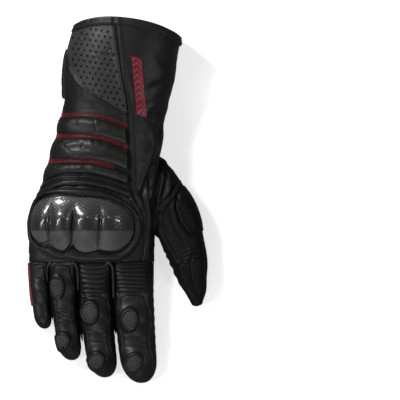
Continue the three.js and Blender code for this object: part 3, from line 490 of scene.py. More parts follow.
carbon = {"turn": 0.62, "pitch": 5.0, "dark": (0.002, 0.002, 0.0024), "light": (0.066, 0.067, 0.069),
          "plain": (0.045, 0.045, 0.046)}


def carbonMaterial():  # clear-coated twill: two crossed sets of bands, sines of the object's turned x and y
    material, tree = newMaterial("carbonShell")
    turned = addNode(tree, "Mapping", {"Vector": ownPlace(tree), "Rotation": (0, 0, carbon["turn"])}).outputs[0]
    apart = addNode(tree, "SeparateXYZ", {0: turned}).outputs
    bands = [times(tree, apart[k], 1000 / carbon["pitch"]) for k in (0, 1)]
    cells = [mathNode(tree, "FLOOR", times(tree, v, 2)) for v in bands]
    twill = mathNode(tree, "MODULO", plus(tree, plus(tree, *cells), 400), 2)
    waves = [mathNode(tree, "ABSOLUTE", mathNode(tree, "SINE", times(tree, v, 2 * math.pi))) for v in bands]
    tow = plus(tree, times(tree, waves[0], twill), times(tree, waves[1], mathNode(tree, "SUBTRACT", 1, twill)))
    weave = attribute(tree, "weave")
    shown = times(tree, mapped(tree, tow, 0.45, 0.95), weave)
    # the mesh's second attribute dims the light strands towards the barrels' ridge: painted shade standing in for a
    # dark reflection
    share = times(tree, shown, attribute(tree, "tow"))
    strands = blended(tree, share, carbon["dark"], carbon["light"])
    return finished(material, tree, {
        "Base Color": blended(tree, weave, carbon["plain"], strands),
        "Roughness": mapped(tree, weave, 0, 1, 0.5, 0.32),
        "Coat Weight": mapped(tree, weave, 0, 1), "Coat Roughness": 0.05,
    }, shown, 0.2, 0.0004)


label = {"bars": 10.0, "slant": 2.2, "ground": (0.012, 0.005, 0.006), "outline": (0.25, 0.006, 0.021),
         "fill": (0.055, 0.003, 0.007)}


def labelMaterial():  # arrows in two reds inside a thin border: a zigzag of along, sloped by the way to the rim
    material, tree = newMaterial("stripedLabel")
    rim = mathNode(tree, "PINGPONG", attribute(tree, "across"), 0.5)
    phase = plus(tree, times(tree, attribute(tree, "along"), label["bars"]), times(tree, rim, label["slant"]))
    raised = mapped(tree, rim, 0.04, 0.06)
    inner = times(tree, mapped(tree, mathNode(tree, "PINGPONG", phase, 0.5), 0.2, 0.25), mapped(tree, rim, 0.1, 0.13))
    arrows = blended(tree, inner, blended(tree, raised, label["ground"], label["outline"]), label["fill"])
    return finished(material, tree, {
        "Base Color": arrows, "Roughness": mapped(tree, noiseNode(tree, ownPlace(tree), 900), 0.3, 0.7, 0.36, 0.5),
    }, mathNode(tree, "SUBTRACT", raised, times(tree, inner, 0.4)), 0.5)


edged = {"border": (0.13, 0.009, 0.014), "middle": (0.008, 0.008, 0.0076), "across": 0.24, "along": 0.06}


def edgedMaterial():  # black leather with a red border, from the sheet's own across and along
    material, tree = newMaterial("edgedPad")
    grain = grained(tree, 900)
    rims = [mapped(tree, mathNode(tree, "PINGPONG", attribute(tree, name), 0.5), edged[name] - 0.02, edged[name])
            for name in ("across", "along")]
    inside = times(tree, *rims)
    colour = blended(tree, inside, edged["border"], edged["middle"])
    return finished(material, tree, {
        "Base Color": blended(tree, 1, colour, grain["Tone"], "MULTIPLY"),
        "Roughness": plus(tree, grain["Gloss"], 0.42),
    }, plus(tree, inside, grain["Height"]), 0.2)


spacer = {"turn": 50, "stretch": (1.12, 0.9, 1), "cells": 470, "dark": (0.003, 0.003, 0.003),
          "light": (0.07, 0.072, 0.069)}


def meshMaterial():  # grey dots of a spacer mesh over black, on a lattice that stands on its corners
    material, tree = newMaterial("ventMesh")
    turned = addNode(tree, "Mapping", {"Vector": ownPlace(tree), "Rotation": (0, 0, math.radians(spacer["turn"])),
                                       "Scale": spacer["stretch"]}).outputs[0]
    cells = addNode(tree, "TexVoronoi", {"Vector": turned, "Scale": spacer["cells"], "Randomness": 0.15},
                    voronoi_dimensions="2D")
    slope = addNode(tree, "SeparateXYZ", {0: addNode(tree, "NewGeometry").outputs["True Normal"]}).outputs["Z"]
    dots = times(tree, mapped(tree, cells.outputs["Distance"], 0.2, 0.37, 1, 0),
                 mapped(tree, slope, 0.35, 0.6))  # they fade where the mesh turns down the finger's side
    return finished(material, tree, {"Base Color": blended(tree, dots, spacer["dark"], spacer["light"]),
                                     "Roughness": 0.7}, dots, 0.8, 0.0006)


aramid = {"thread": 1.5, "dark": (0.012, 0.012, 0.008), "light": (0.26, 0.245, 0.13)}


def aramidMaterial():  # plain weave of olive threads: a product of two sines
    material, tree = newMaterial("aramidWeave")
    place = ownPlace(tree)
    apart = addNode(tree, "SeparateXYZ", {0: place}).outputs
    crossed = [mathNode(tree, "SINE", times(tree, apart[k], math.pi * 1000 / aramid["thread"]))
               for k in (0, 1)]
    height = mapped(tree, times(tree, *crossed), -1, 1)
    shade = times(tree, height, mapped(tree, noiseNode(tree, place, 700), 0.3, 0.7, 0.5, 1.2))
    return finished(material, tree, {"Base Color": blended(tree, shade, aramid["dark"], aramid["light"]),
                                     "Roughness": 0.8}, height, 0.9)


# colour, roughness, size of the grain, strength of its relief and, where it isn't 0.3, the specular level
leathers = {
    "blackLeather": [(0.0068, 0.0068, 0.0063), 0.41, 900, 0.12],
    "bindingLeather": [(0.0105, 0.0105, 0.0102), 0.41, 1100, 0.12],
    "panelLeather": [(0.023, 0.023, 0.0225), 0.44, 1000, 0.16],
    "gripLeather": [(0.008, 0.008, 0.008), 0.5, 620, 0.4],
    # the thumb's leather: darker and less shiny than the black leather, as painted shade for the thumb lying in the
    # body's shadow
    "paintedShadeThumbLeather": [(0.0035, 0.0035, 0.0034), 0.5, 800, 0.2, 0.14],
    "blackThread": [(0.004, 0.004, 0.004), 0.6, 1500, 0.1],
    "redThread": [(0.33, 0.01, 0.022), 0.55, 1500, 0.1],
}
finishes = {name: leatherMaterial(name, *look) for name, look in leathers.items()}
for make in (carbonMaterial, labelMaterial, edgedMaterial, meshMaterial, aramidMaterial):
    material = make()
    finishes[material.name] = material
print("materials ready")

thumb = {"start": -0.93, "end": 0.94, "web": 7.5, "square": 2.3, "around": 132, "rows": 230, "ribs": 3.5,
         "ribHeight": 1.1, "wrinkle": 0.2, "lining": 0.6}


def thumbSection(along):  # centre, heading and section of the thumb at a share of its reach, from its table
    pick = lambda k: columnAt(thumbRows, k, along)
    turn = np.radians(pick(4))
    cx = -sizes["palmOffset"] + sizes["palmWidth"] / 2 + pick(1) * sizes["thumbWidth"]
    cy = -sizes["handLength"] * 0.9 - np.asarray(along) * sizes["thumbReach"]
    half = pick(2) * sizes["thumbWidth"] * (1 - 0.15 * (1 - smooth(along, -0.95, -0.6)))
    half = half + thumb["web"] * (1 - smooth(along, -0.95, -0.84))  # it runs up along the cuff
    s = sectionOf(0, half, np.maximum(pick(5), 0) * sizes["rest"], pick(3) * sizes["thumbHeight"],
                  thumb["square"] + 0 * half)
    return cx, cy, np.sin(turn), np.cos(turn), s


def insideThumb(p, margin):  # true where a point lies inside the thumb's root by more than margin
    inside = np.zeros(len(p), bool)
    for along in np.linspace(thumb["start"], -0.2, 26):
        cx, cy, sx, sy, s = thumbSection(along)
        u = (p[:, 0] - cx) * sx + (p[:, 1] - cy) * sy
        f = (p[:, 0] - cx) * sy - (p[:, 1] - cy) * sx
        r = (np.abs(u / (s["half"] - margin)) ** s["square"]
             + np.abs((p[:, 2] - s["widest"]) / (s["top"] - s["widest"] - margin)) ** s["square"])
        inside |= (r < 1) & (np.abs(f) < 2.2)
    return inside


def makeBody():  # rings from the mouth's edge to the finger roots, then back inside as a lining
    n = body["around"]
    angle = circle(n)[None, :]
    angle = angle + body["gather"] * (np.cos(angle) - 1)  # closer together over the back
    cuffY = np.linspace(1, 0, body["cuffRows"])[:, None] * mouthAt(angle)
    handY = -np.linspace(0, sizes["handLength"], body["handRows"] + 1)[1:, None] + 0 * angle
    y = np.vstack([cuffY, handY])
    outer = bodyPoint(y, angle, 0.0)
    held = bodyPoint(y[-1:], angle, -0.15)  # keeps the seam's edge crisp
    for ring in (outer, held):
        ring[..., 2] = np.maximum(ring[..., 2], sizes["rest"])
    sleeve = bodyPoint(y[-1:] - np.array([[0.0], [2.5]]), angle, np.array([[-2.0], [-2.4]]))
    y = y[np.linspace(0, len(y) - 1, body["lining"]).astype(int)[::-1]]
    x, z = lifted(bodySection(y), angle + 0 * y, -sizes["leather"] * 1.6)
    points = np.concatenate([outer, held, sleeve, joined(x, y, z)])
    faces = outwards(points, gridFaces(len(points), n, wrapRows=True, wrapColumns=True))
    faces = faces[~insideThumb(points.reshape(-1, 3)[faces].mean(1), 2.6)]
    makePiece("gauntletBody", points, faces, "blackLeather",
              ["cuff_shell", "hand_shell"] + [f"wrist_pad_{k}" for k in (1, 2, 3, 4)])


makeBody()
print("body made")

names = list(fingers)
fingerSkin = {"capHeight": 1.5, "capEdge": 1.2, "boss": 2.2, "ribDepth": 2.6, "wrinkle": 0.18,
              "tip": 1.15, "around": 132, "along": 200}  # tip: length of the round tip in half widths


def fingerHalf(name):  # half the finger's width at its root
    return fingers[name]["share"] * sizes["palmWidth"] / 2 - 0.15


def fingerSection(name, at):  # y, section and fullness, where at runs from 0 at the root to 1 at the round tip
    f = fingers[name]
    before = sum(fingers[k]["share"] for k in names[:names.index(name)])
    middle = -sizes["palmOffset"] + sizes["palmWidth"] / 2 - (before + f["share"] / 2) * sizes["palmWidth"]
    half = fingerHalf(name)
    tip = fingerSkin["tip"] * half
    fullness = (1 - np.clip((at * f["length"] - (f["length"] - tip)) / tip, 0, 1) ** 2.2) ** (1 / 2.2)
    height = f["height"] * sizes["fingerHeight"]
    tipZ = f["rest"] + 0.36 * height * 0.62
    width, rise, held, square = (columnAt(fingerRows, k, at) for k in (1, 2, 3, 4))
    s = sectionOf(middle + f["lean"] * f["length"] * at ** 2, np.maximum(half * width * fullness, 0.01),
                  mix(tipZ, mix(f["rest"], sizes["rest"], np.maximum(held, 0)), fullness),
                  mix(tipZ, sizes["rest"] * held + height * rise, fullness), square)
    return rootY - at * f["length"], s, fullness


def capHalf(name, at):  # half width of the raised cap on a finger's back, as a share: full over the joints
    share = 0.56 + 0 * at
    for b in fingers[name]["bosses"]:
        share = share + 0.27 * hump(at, b, 0.105)
    return share - 0.5 * smooth(at, 0.93, 1.0)


def fingerLift(name, at, across, up, x, y, z):  # ribs as sines, the cap and its rim, round bosses, creases, noise
    f = fingers[name]
    lift = np.zeros(np.shape(x))
    back = smooth(up, 0.0, 0.3)
    start = 0.03
    if f["stretch"]:
        start = f["stretch"] + 0.02
        v = np.clip((at - 0.015) / (f["stretch"] - 0.015), 0, 1)
        ribs = np.abs(np.sin(np.pi * f["ribs"] * (v + 0.022 * noise(x, y, z, 8, 19)))) ** 0.6
        wide = 1 - smooth(np.abs(across + 0.08), 0.66, 0.8)
        zone = wide * back * smooth(at, 0.0, 0.02) * (1 - smooth(at, f["stretch"], f["stretch"] + 0.015))
        lift += fingerSkin["ribDepth"] * (ribs - 0.45) * zone
        lift -= 1.4 * hump(at, f["stretch"] + 0.005, 0.012) * wide * back
    shape = capHalf(name, at)
    fromMiddle = np.abs(across + 0.06)
    brow = at - 0.05 * np.abs(across / 0.8) ** 2.5
    inside = smooth(shape - fromMiddle, -0.045, 0.06) * back * smooth(brow, start - 0.012, start + 0.012)
    rim = hump(fromMiddle - shape, 0.045, 0.035) * back * smooth(at, start, start + 0.03)
    lift -= fingerSkin["capEdge"] * hump(brow, start - 0.018, 0.012) * back * (fromMiddle < shape + 0.05)
    lift += fingerSkin["capHeight"] * inside - fingerSkin["capEdge"] * rim
    for b in f["bosses"]:
        far = ((at - b) / 0.105) ** 2 + ((across - f["aside"] * 0.6) / 0.62) ** 2
        lift += fingerSkin["boss"] * np.exp(-far ** 2) * back
    if len(f["bosses"]) > 1:
        waist = 0.5 * (f["bosses"][0] + f["bosses"][1])
        for k, d in enumerate((-0.045, 0.0, 0.04)):
            lift -= 0.45 * hump(at, waist + d + 0.01 * np.sin(across * 3 + k), 0.01) * back * inside
    seam = np.abs(np.abs(across) - 0.9)
    lift -= 0.55 * hump(seam, 0, 0.03) * smooth(up, 0.02, 0.1) * (1 - smooth(up, 0.55, 0.7))
    folds = np.sin(at * f["length"] * 0.75 + 1.2 * across) * hump(at, 0.45, 0.25)  # on the palm's side
    lift += 0.25 * folds * (1 - back) * smooth(z, 2.5, 6)
    lift -= (1 - smooth(at, 0.0, 0.022)) * smooth(up, 0.1, 0.6)
    small = noise(x, y, z, 7, 11) * 0.6 + noise(x, y, z, 3.4, 12) * 0.35
    return lift + fingerSkin["wrinkle"] * small * smooth(z, 1.5, 5)


def fingerPoint(name, at, angle, lift):  # the dressed finger, its root blended into the arch of the back
    y, s, fullness = fingerSection(name, at)
    x, z = onSection(s, angle)
    across = np.clip((x - s["middle"]) / np.maximum(s["half"], 1e-6), -1, 1)
    up = np.clip((z - s["widest"]) / np.maximum(s["top"] - s["widest"], 1e-6), 0, 1)
    extra = fingerLift(name, at, across, up, x, y, z) * smooth(fullness, 0.0, 0.45) + lift
    x, z = lifted(s, angle, extra)
    arch = np.maximum(backHeight(x, -sizes["handLength"] + 0 * x), s["widest"]) + extra
    blend = (1 - smooth(at, 0, 0.25)) * (up > 0)
    z = np.where(up > 0, mix(z, mix(s["widest"], arch, up), blend), z)
    return joined(x, y, np.maximum(z, s["bottom"] * (fullness > 0.9)))


def makeFinger(name):  # rings from the root over the round tip, and a lining that ends at the root's edge
    f = fingers[name]
    n, m = fingerSkin["around"], fingerSkin["along"]
    angle = circle(n)[None, :]
    w = np.linspace(0, 1, m)
    shaft = 1 - fingerSkin["tip"] * f["share"] * sizes["palmWidth"] / 2 / f["length"]
    at = np.where(w < 0.78, w / 0.78 * shaft, shaft + (1 - shaft) * np.sin((w - 0.78) / 0.22 * math.pi / 2))
    rings = [fingerPoint(name, np.minimum(at, 0.99995)[:, None], angle, 0.0)]
    for share in (0.9, 0.7, 0.45, 0.2, 0.0):
        y, s, _ = fingerSection(name, np.array([[share]]))
        x, z = lifted(s, angle, -sizes["leather"])
        rings.append(joined(x, y, np.minimum(z, backHeight(x, -sizes["handLength"] + 0 * x) - 1)))
    rings.append(fingerPoint(name, np.zeros((1, 1)), angle, -0.15))  # keeps the seam's edge crisp
    points = np.concatenate(rings)
    i = np.arange(n)
    j = (i + 1) % n
    last = (len(points) - 1) * n
    faces = np.vstack([gridFaces(m, n, wrapColumns=True), gridFaces(6, n, wrapColumns=True) + m * n,
                       np.stack([last + i, last + j, j, i], -1)])
    replaced = [name + "_finger"] + ([name + "_stretch_panel"] if f["stretch"] else [])
    makePiece(name + "Leather", points, outwards(points, faces), "blackLeather", replaced)


for name in names:
    makeFinger(name)
print("fingers made")

# the vent nearer the tip is turned and shorter; inner and reach: where the rim starts and ends, as shares
vent = {"width": 11.6, "length": 18.0, "shorter": 2.5, "turn": 0.3, "rimHeight": 1.7, "sunk": 0.35, "inner": 0.86,
        "reach": 1.42, "around": 72, "rings": 12}


def fingerBack(name, x, y, lift):  # a point over a finger's dressed back
    at = np.clip((rootY - y) / fingers[name]["length"], 0, 0.995)
    s = fingerSection(name, at)[1]
    x = np.clip(x, s["middle"] - 0.9 * fingerHalf(name), s["middle"] + 0.9 * fingerHalf(name))
    return fingerPoint(name, at, angleAt(s, x, 1), lift)


def makeVent(name, index):  # an oval of mesh inside a rolled rim: rings from the middle outwards, the roll a sine
    f = fingers[name]
    at = f["vents"][index]
    turn, length = vent["turn"] * index, vent["length"] - vent["shorter"] * index
    cx = float(fingerSection(name, np.array(at))[1]["middle"]) + f["aside"] * fingerHalf(name)
    cy = rootY - at * f["length"]
    rings = np.r_[np.linspace(0.001, vent["inner"], vent["rings"]), np.linspace(0.9, vent["reach"], 14)][:, None]
    angle = circle(vent["around"])[None, :]
    u, v = rings * np.cos(angle) * vent["width"] / 2, rings * np.sin(angle) * length / 2
    x = cx + u * math.cos(turn) + v * math.sin(turn)
    y = cy + v * math.cos(turn) - u * math.sin(turn)
    roll = np.clip((rings - vent["inner"]) / (vent["reach"] - vent["inner"]), 0, 1)
    lift = mix(0.45 - 0.25 * rings ** 2, 0.1, smooth(rings, 0.8, 0.88)) + 0 * angle
    rim = (vent["rimHeight"] + vent["sunk"]) * np.sin(np.pi * roll ** 0.6) ** 0.8 - vent["sunk"]
    lift = np.where(rings > vent["inner"], rim, lift)
    points = fingerBack(name, x, y, np.where(rings > vent["reach"] - 0.01, -0.6, lift))
    for part, rows, finish, replaced, slot in (
            ("Vent", points[:vent["rings"] + 1], "ventMesh", [f"{name}_vent_{index + 1}"], "vent_mesh"),
            ("VentRim", points[vent["rings"] - 1:], "blackLeather", [], "black_leather")):
        faces = gridFaces(len(rows), vent["around"], wrapColumns=True, flip=True)
        makePiece(f"{name}{part}{index + 1}", rows, faces, finish, replaced)


for name in names:
    for k in range(len(fingers[name]["vents"])):
        makeVent(name, k)
print("vents made")

threads = {"red": [], "black": []}
# length, gap and radius of the stitches in mm, and how far their ends step aside
stitches = {
    "quilt": (1.4, 0.9, 0.3), "bar": (0.7, 1.6, 0.26, 1.2), "tuck": (1.2, 0.7, 0.24), "seam": (1.9, 0.8, 0.28),
    "panel": (1.7, 0.8, 0.28), "binding": (1.9, 0.8, 0.25), "welt": (1.1, 0.6, 0.26), "border": (2.2, 1.0, 0.3),
}


def stitchRow(points, normals, colour, length, gap, radius, slant=0.0):
    # Arched beads end to end along a path: five rings of six points each, leaning sideways by slant.
    along = np.r_[0, np.cumsum(np.linalg.norm(np.diff(points, axis=0), axis=1))]
    starts = np.arange(gap / 2, along[-1] - length, length + gap)
    t = np.linspace(0, 1, 5)
    at = starts[:, None] + t * length
    centre, normal = (np.stack([np.interp(at, along, v[:, k]) for k in range(3)], -1) for v in (points, normals))
    normal = unit(normal)
    heading = unit(centre[:, -1:] - centre[:, :1])
    centre = centre + np.cross(heading, normal) * (slant * (2 * t - 1))[None, :, None]
    across = np.cross(unit(centre[:, -1:] - centre[:, :1]), normal)
    thick = (radius * np.array([0.3, 0.85, 1, 0.85, 0.3]))[None, :, None, None]
    arch = (radius * (0.9 * np.sin(np.pi * t) - 0.1))[None, :, None, None]
    angle = circle(6)[None, None, :, None]
    ring = (centre[:, :, None] + normal[:, :, None] * (arch + thick * np.sin(angle))
            + across[:, :, None] * thick * np.cos(angle))
    threads[colour].append(ring.reshape(-1, 30, 3))


def sewPath(place, colour, look, *arguments, lift=0.1):  # stitches along a row of points given by place(..., lift)
    low, high = place(*arguments, lift), place(*arguments, lift + 1)
    stitchRow(low, high - low, colour, *stitches[look])


def sewThreads():  # every bead of a colour in one piece
    for colour, slot in (("red", "red_rubber"), ("black", "black_leather")):
        beads = np.concatenate(threads[colour])
        one = outwards(beads[0], gridFaces(5, 6, wrapColumns=True))
        faces = (one[None] + 30 * np.arange(len(beads))[:, None, None]).reshape(-1, 4)
        makePiece(colour + "Stitches", beads, faces, colour + "Thread")
        print(colour, "stitches", len(beads))


def besides(path, away):  # a plan path moved sideways
    step = unit(np.gradient(path, axis=0))
    return path + away * np.stack([-step[:, 1], step[:, 0]], 1)


# x where each red line starts, the angle where it ends and its double rows' distance; then the black rows below
quilting = {"right": (14, 14, 1.5), "left": 184, "apart": 1.35, "rows": (0.905, 0.925, 0.955), "rowsRight": 14.5,
            "rowsLeft": 176}


def sewQuiltLine(level, right, left, colour, look, away=0.0):  # round the back along one quilting line
    y = -level * body["quiltSpan"]
    s = bodySection(y)
    angle = np.linspace(angleAt(s, right, 1), math.radians(left), 160)
    sewPath(bodyPoint, colour, look, y - quiltFall(onSection(s, angle)[0], level) + away, angle)


def sewBack():  # red double rows joined by short bars, black rows below them and along the seams
    apart = quilting["apart"]
    for level, right in zip(body["quiltLines"], quilting["right"]):
        for away, look in ((-apart, "quilt"), (apart, "quilt"), (0.0, "bar")):
            sewQuiltLine(level, right, quilting["left"], "red", look, away)
    for level in quilting["rows"]:
        sewQuiltLine(level, quilting["rowsRight"], quilting["rowsLeft"], "black", "tuck")
    seams = (body["longSeam"][1:], "seam", (-2.05, 2.05)), (body["panelEdge"], "panel", (-1.3, -3.4))
    for path, look, sides in seams:
        for away in sides:
            sewPath(onBack, "black", look, *besides(throughPoints(path, 0.8), away).T)


sewBack()

pierced = {"pitchX": 5.3, "pitchY": 4.9, "radius": 1.06, "grid": 0.5, "top": 1.3, "thickness": 1.2, "lean": 0.16,
           "margin": 2.2, "width": 56, "length": 80}


def makePerforated():  # a fine grid between two edges, its points drawn onto round holes and their faces taken out
    leftOf = lambda y: alongLine(body["panelEdge"], y) + 0.35
    rightOf = lambda y: alongLine(body["longSeam"], y) - 1.2
    u = np.linspace(0, 1, int(pierced["width"] / pierced["grid"]))[None, :]
    t = np.linspace(0, 1, int(pierced["length"] / pierced["grid"]))[:, None]
    xTop = mix(leftOf(70.0), rightOf(70.0), u)
    yTop = mouthAt(angleAt(bodySection(sizes["cuffLength"]), xTop, 1)) - 6.6
    y = mix(-2.6, yTop, t)
    x = mix(leftOf(y), rightOf(y), u)
    row = np.round((y + pierced["lean"] * x) / pierced["pitchY"])
    shift = np.where(row % 2 == 0, 0, pierced["pitchX"] / 2)
    holeX = np.round((x - shift) / pierced["pitchX"]) * pierced["pitchX"] + shift
    holeY = row * pierced["pitchY"] - pierced["lean"] * holeX
    room = np.minimum(holeX - leftOf(holeY), rightOf(holeY) - holeX)
    pierces = (room > pierced["margin"]) & (holeY > 2) & (holeY < yTop - pierced["margin"])
    away = np.maximum(np.hypot(x - holeX, y - holeY), 1e-6)
    drawn = pierces & (np.abs(away - pierced["radius"]) < pierced["grid"] * 0.62)
    scale = np.where(drawn, pierced["radius"] / away, 1)
    x, y = holeX + (x - holeX) * scale, holeY + (y - holeY) * scale
    points, faces = laid(onBack, x, y, pierced["top"] + 0 * x)
    flat = np.stack([x.ravel(), y.ravel()], 1)[faces].mean(1)
    centre = np.stack([holeX.ravel(), holeY.ravel()], 1)[faces[:, 0]]
    keep = ~(pierces.ravel()[faces].all(1) & (np.hypot(*(flat - centre).T) < pierced["radius"] * 0.93))
    piece = makePiece("perforatedPanel", points, faces[keep], "panelLeather", ["perforated_panel"])
    wall = piece.modifiers.new("thickness", "SOLIDIFY")
    wall.thickness, wall.offset = pierced["thickness"] / 1000, -1


makePerforated()

# inside: how far it reaches into the wall; stitches: their distance from the edge
binding = {"width": 6.0, "thickness": 2.0, "groove": 0.8, "around": 260, "inside": 2.4, "stitches": 4.9}


def makeBinding():  # a flat-sided roll: its outer face, the rolled edge and its inner face, swept round the mouth
    t = np.linspace(0, 1, 12)
    face = binding["thickness"] * np.sin(np.pi * np.clip(t * 0.93 + 0.04, 0, 1)) ** 0.35
    face = face - binding["groove"] * hump(t, 0.68, 0.07) - binding["groove"] * 0.6 * hump(t, 0.22, 0.06)
    roll = np.linspace(0, math.pi, 9)[1:-1]
    middle = (binding["thickness"] * 0.8 - binding["inside"] - binding["thickness"]) / 2
    radius = binding["thickness"] * 0.8 - middle
    along = np.r_[-binding["width"] * (1 - t), 0.2 + 1.5 * np.sin(roll), -binding["width"] * t]
    lift = np.r_[face, middle + radius * np.cos(roll), -binding["inside"] - face[::-1]]
    angle = circle(binding["around"])[:, None]
    points = bodyPoint(mouthAt(angle) + along[None, :], angle, lift[None, :])
    points[..., 2] = np.maximum(points[..., 2], 0.4)
    faces = outwards(points, gridFaces(binding["around"], len(along), wrapRows=True, wrapColumns=True))
    makePiece("cuffBinding", points, faces, "bindingLeather", ["cuff_binding"])
    ring = np.linspace(math.radians(-20), math.radians(200), 300)
    sewPath(bodyPoint, "black", "binding", mouthAt(ring) - binding["stitches"], ring,
            lift=binding["thickness"] - 0.15)


makeBinding()
print("panel and binding made")

# folds on the thumb: path in the photograph, depth (negative stands up), width
thumbFolds = [
    [[(163, 160), (167, 176), (164, 192), (160, 206), (158, 216)], 1.2, 2.0],
    [[(160, 158), (160, 178), (155, 198), (157, 218), (156, 238)], 1.9, 1.8],
    [[(181, 181), (175, 195), (165, 206), (158, 217)], -1.5, 1.1],
    [[(178, 180), (171, 194), (162, 204), (157, 212)], 1.4, 1.1],
    [[(182, 184), (177, 196), (176, 208), (181, 222), (190, 234), (202, 232)], 1.4, 1.1],
    [[(170, 212), (176, 230), (184, 241), (187, 250)], 1.0, 1.2],
    [[(172, 204), (177, 222), (186, 236), (200, 241)], -0.8, 1.6],
    [[(163, 216), (165, 226), (170, 236)], 0.8, 1.6],
    [[(158, 222), (168, 244), (176, 258), (182, 262)], 0.5, 1.4],
    [[(173, 268), (178, 266), (182, 264)], 1.3, 1.3],
    [[(180, 283), (184, 280)], 1.2, 1.2],
    [[(182, 256), (184, 270), (188, 284), (196, 300)], 0.9, 1.1],
    [[(191, 252), (187, 262), (190, 280), (197, 297), (201, 304)], -0.9, 1.5],
    [[(193, 254), (190, 264), (192, 280), (198, 294)], 0.9, 1.0],
    [[(205, 254), (206, 270), (205, 286), (201, 300)], 0.7, 1.0],
    [[(150, 190), (152, 205), (154, 222), (155, 240)], 1.2, 1.8],
]


def thumbLift(along, across, up, x, y, z):  # folds as bells across their paths, ribs as sines, seams and noise
    back = smooth(up, 0.02, 0.3)
    lift = np.zeros(np.shape(x))
    for path, depth, width in thumbFolds:
        d, t = toPath(x, y, fromPhoto(path))
        fade = np.sin(np.pi * np.clip(t, 0.06, 0.94)) ** 0.5
        side = 0.45 * abs(depth) * hump(d, 2.1 * width, 1.1 * width) * (depth > 0)
        lift += (side - depth * hump(d, 0, width)) * fade * back
    v = np.clip((along - 0.03) / 0.22, 0, 1)
    wave = np.abs(np.sin(np.pi * v * thumb["ribs"])) ** 0.6
    zone = smooth(across, -0.25, 0.0) * back * smooth(v, 0, 0.04) * (1 - smooth(v, 0.96, 1.0))
    lift += thumb["ribHeight"] * (wave - 0.6) * zone
    inner = 1 - smooth(across, -0.86, -0.72)
    lift += inner * 0.5 * np.sin(along * 34) * smooth(along, -0.3, 0) * (1 - smooth(along, 0.5, 0.7))
    lift -= 0.6 * hump(across, -0.8, 0.05) * smooth(along, -0.2, 0.0) * back
    small = noise(x, y, z, 8, 21) * 0.7 + noise(x, y, z, 3.6, 22) * 0.4
    return lift + thumb["wrinkle"] * small * smooth(z, 1.0, 5)


def thumbPoint(along, angle, lift):  # the dressed thumb's surface, raised by lift
    along, angle = np.broadcast_arrays(np.asarray(along, float), np.asarray(angle, float))
    cx, cy, sx, sy, s = thumbSection(along)
    u, z = onSection(s, angle)
    up = np.clip((z - s["widest"]) / (s["top"] - s["widest"]), 0, 1)
    u, z = lifted(s, angle, thumbLift(along, u / s["half"], up, cx + u * sx, cy + u * sy, z) + lift)
    return joined(cx + u * sx, cy + u * sy, np.maximum(z, 0))


def makeThumb():  # one tube over the thumb's sections, closed by rings that shrink to the tip, and its lining
    n = thumb["around"]
    angle = circle(n)[None, :]
    outer = thumbPoint(np.linspace(thumb["start"], thumb["end"], thumb["rows"])[:, None], angle, 0.0)
    t = np.linspace(0, 1, 12)[1:, None, None]
    last = outer[-1][None]
    middle = last.mean(1, keepdims=True)
    _, _, sx, sy, _ = thumbSection(thumb["end"])
    cap = middle + (last - middle) * np.sqrt(np.maximum(1 - t ** 2, 1e-8)) + np.array([sy, -sx, 0]) * 2.9 * t
    points = np.concatenate([outer, cap])
    quads = gridFaces(len(points), n, wrapColumns=True)
    faces = outwards(points, quads)
    turned = bool((faces[0] != quads[0]).any())
    inner = thumbPoint(np.linspace(0.85, thumb["start"], 12)[:, None], angle, -sizes["leather"] - thumb["lining"])
    lining = gridFaces(12, n, wrapColumns=True, flip=turned) + len(points) * n
    makePiece("thumbLeather", np.concatenate([points, inner]), np.vstack([faces, lining]), "paintedShadeThumbLeather",
              ["thumb_gusset", "thumb_stall", "thumb_stretch_panel"])


makeThumb()


def thumbBack(x, y, lift):  # over the thumb's back at a plan position, found along its heading
    rows = np.linspace(-0.9, thumb["end"], 400)
    cx, cy, sx, sy, _ = thumbSection(rows)
    along = rows[np.argmin(np.abs((x[..., None] - cx) * sy - (y[..., None] - cy) * sx), -1)]
    cx, cy, sx, sy, s = thumbSection(along)
    share = np.clip(((x - cx) * sx + (y - cy) * sy) / s["half"], -0.995, 0.995)
    return thumbPoint(along, np.arccos(power(share, s["square"] / 2)), lift)


thumbGuard = {"centre": (190.5, 209.5), "half": (8.6, 23.0), "turn": 24.0, "height": 2.8, "edge": 1.0,
              "around": 120}


def makeThumbGuard():  # an oval pad: rings from the middle out, domed, with a groove inside its rim
    cx, cy = fromPhoto([thumbGuard["centre"]])[0]
    turn = math.radians(thumbGuard["turn"])
    ring = np.r_[np.linspace(0.002, 0.9, 26), np.linspace(0.92, 1.0, 8), 1.0][:, None]
    angle = circle(thumbGuard["around"])[None, :]
    u = ring * power(np.cos(angle), 0.9) * thumbGuard["half"][0]
    v = ring * power(np.sin(angle), 0.9) * thumbGuard["half"][1]
    x, y = cx + u * math.cos(turn) - v * math.sin(turn), cy + u * math.sin(turn) + v * math.cos(turn)
    dome = thumbGuard["edge"] + (thumbGuard["height"] - thumbGuard["edge"]) * (1 - ring ** 2.4)
    lift = dome * np.sqrt(1 - np.clip((ring - 0.93) / 0.07, 0, 1) ** 2 * 0.98) - 0.5 * hump(ring, 0.84, 0.03)
    lift[-1] = -0.6
    points, faces = laid(thumbBack, x, y, lift + 0 * angle, wrap=True)
    makePiece("thumbGuardPad", points, faces, "paintedShadeThumbLeather", ["thumb_guard"])


makeThumbGuard()
print("thumb made")

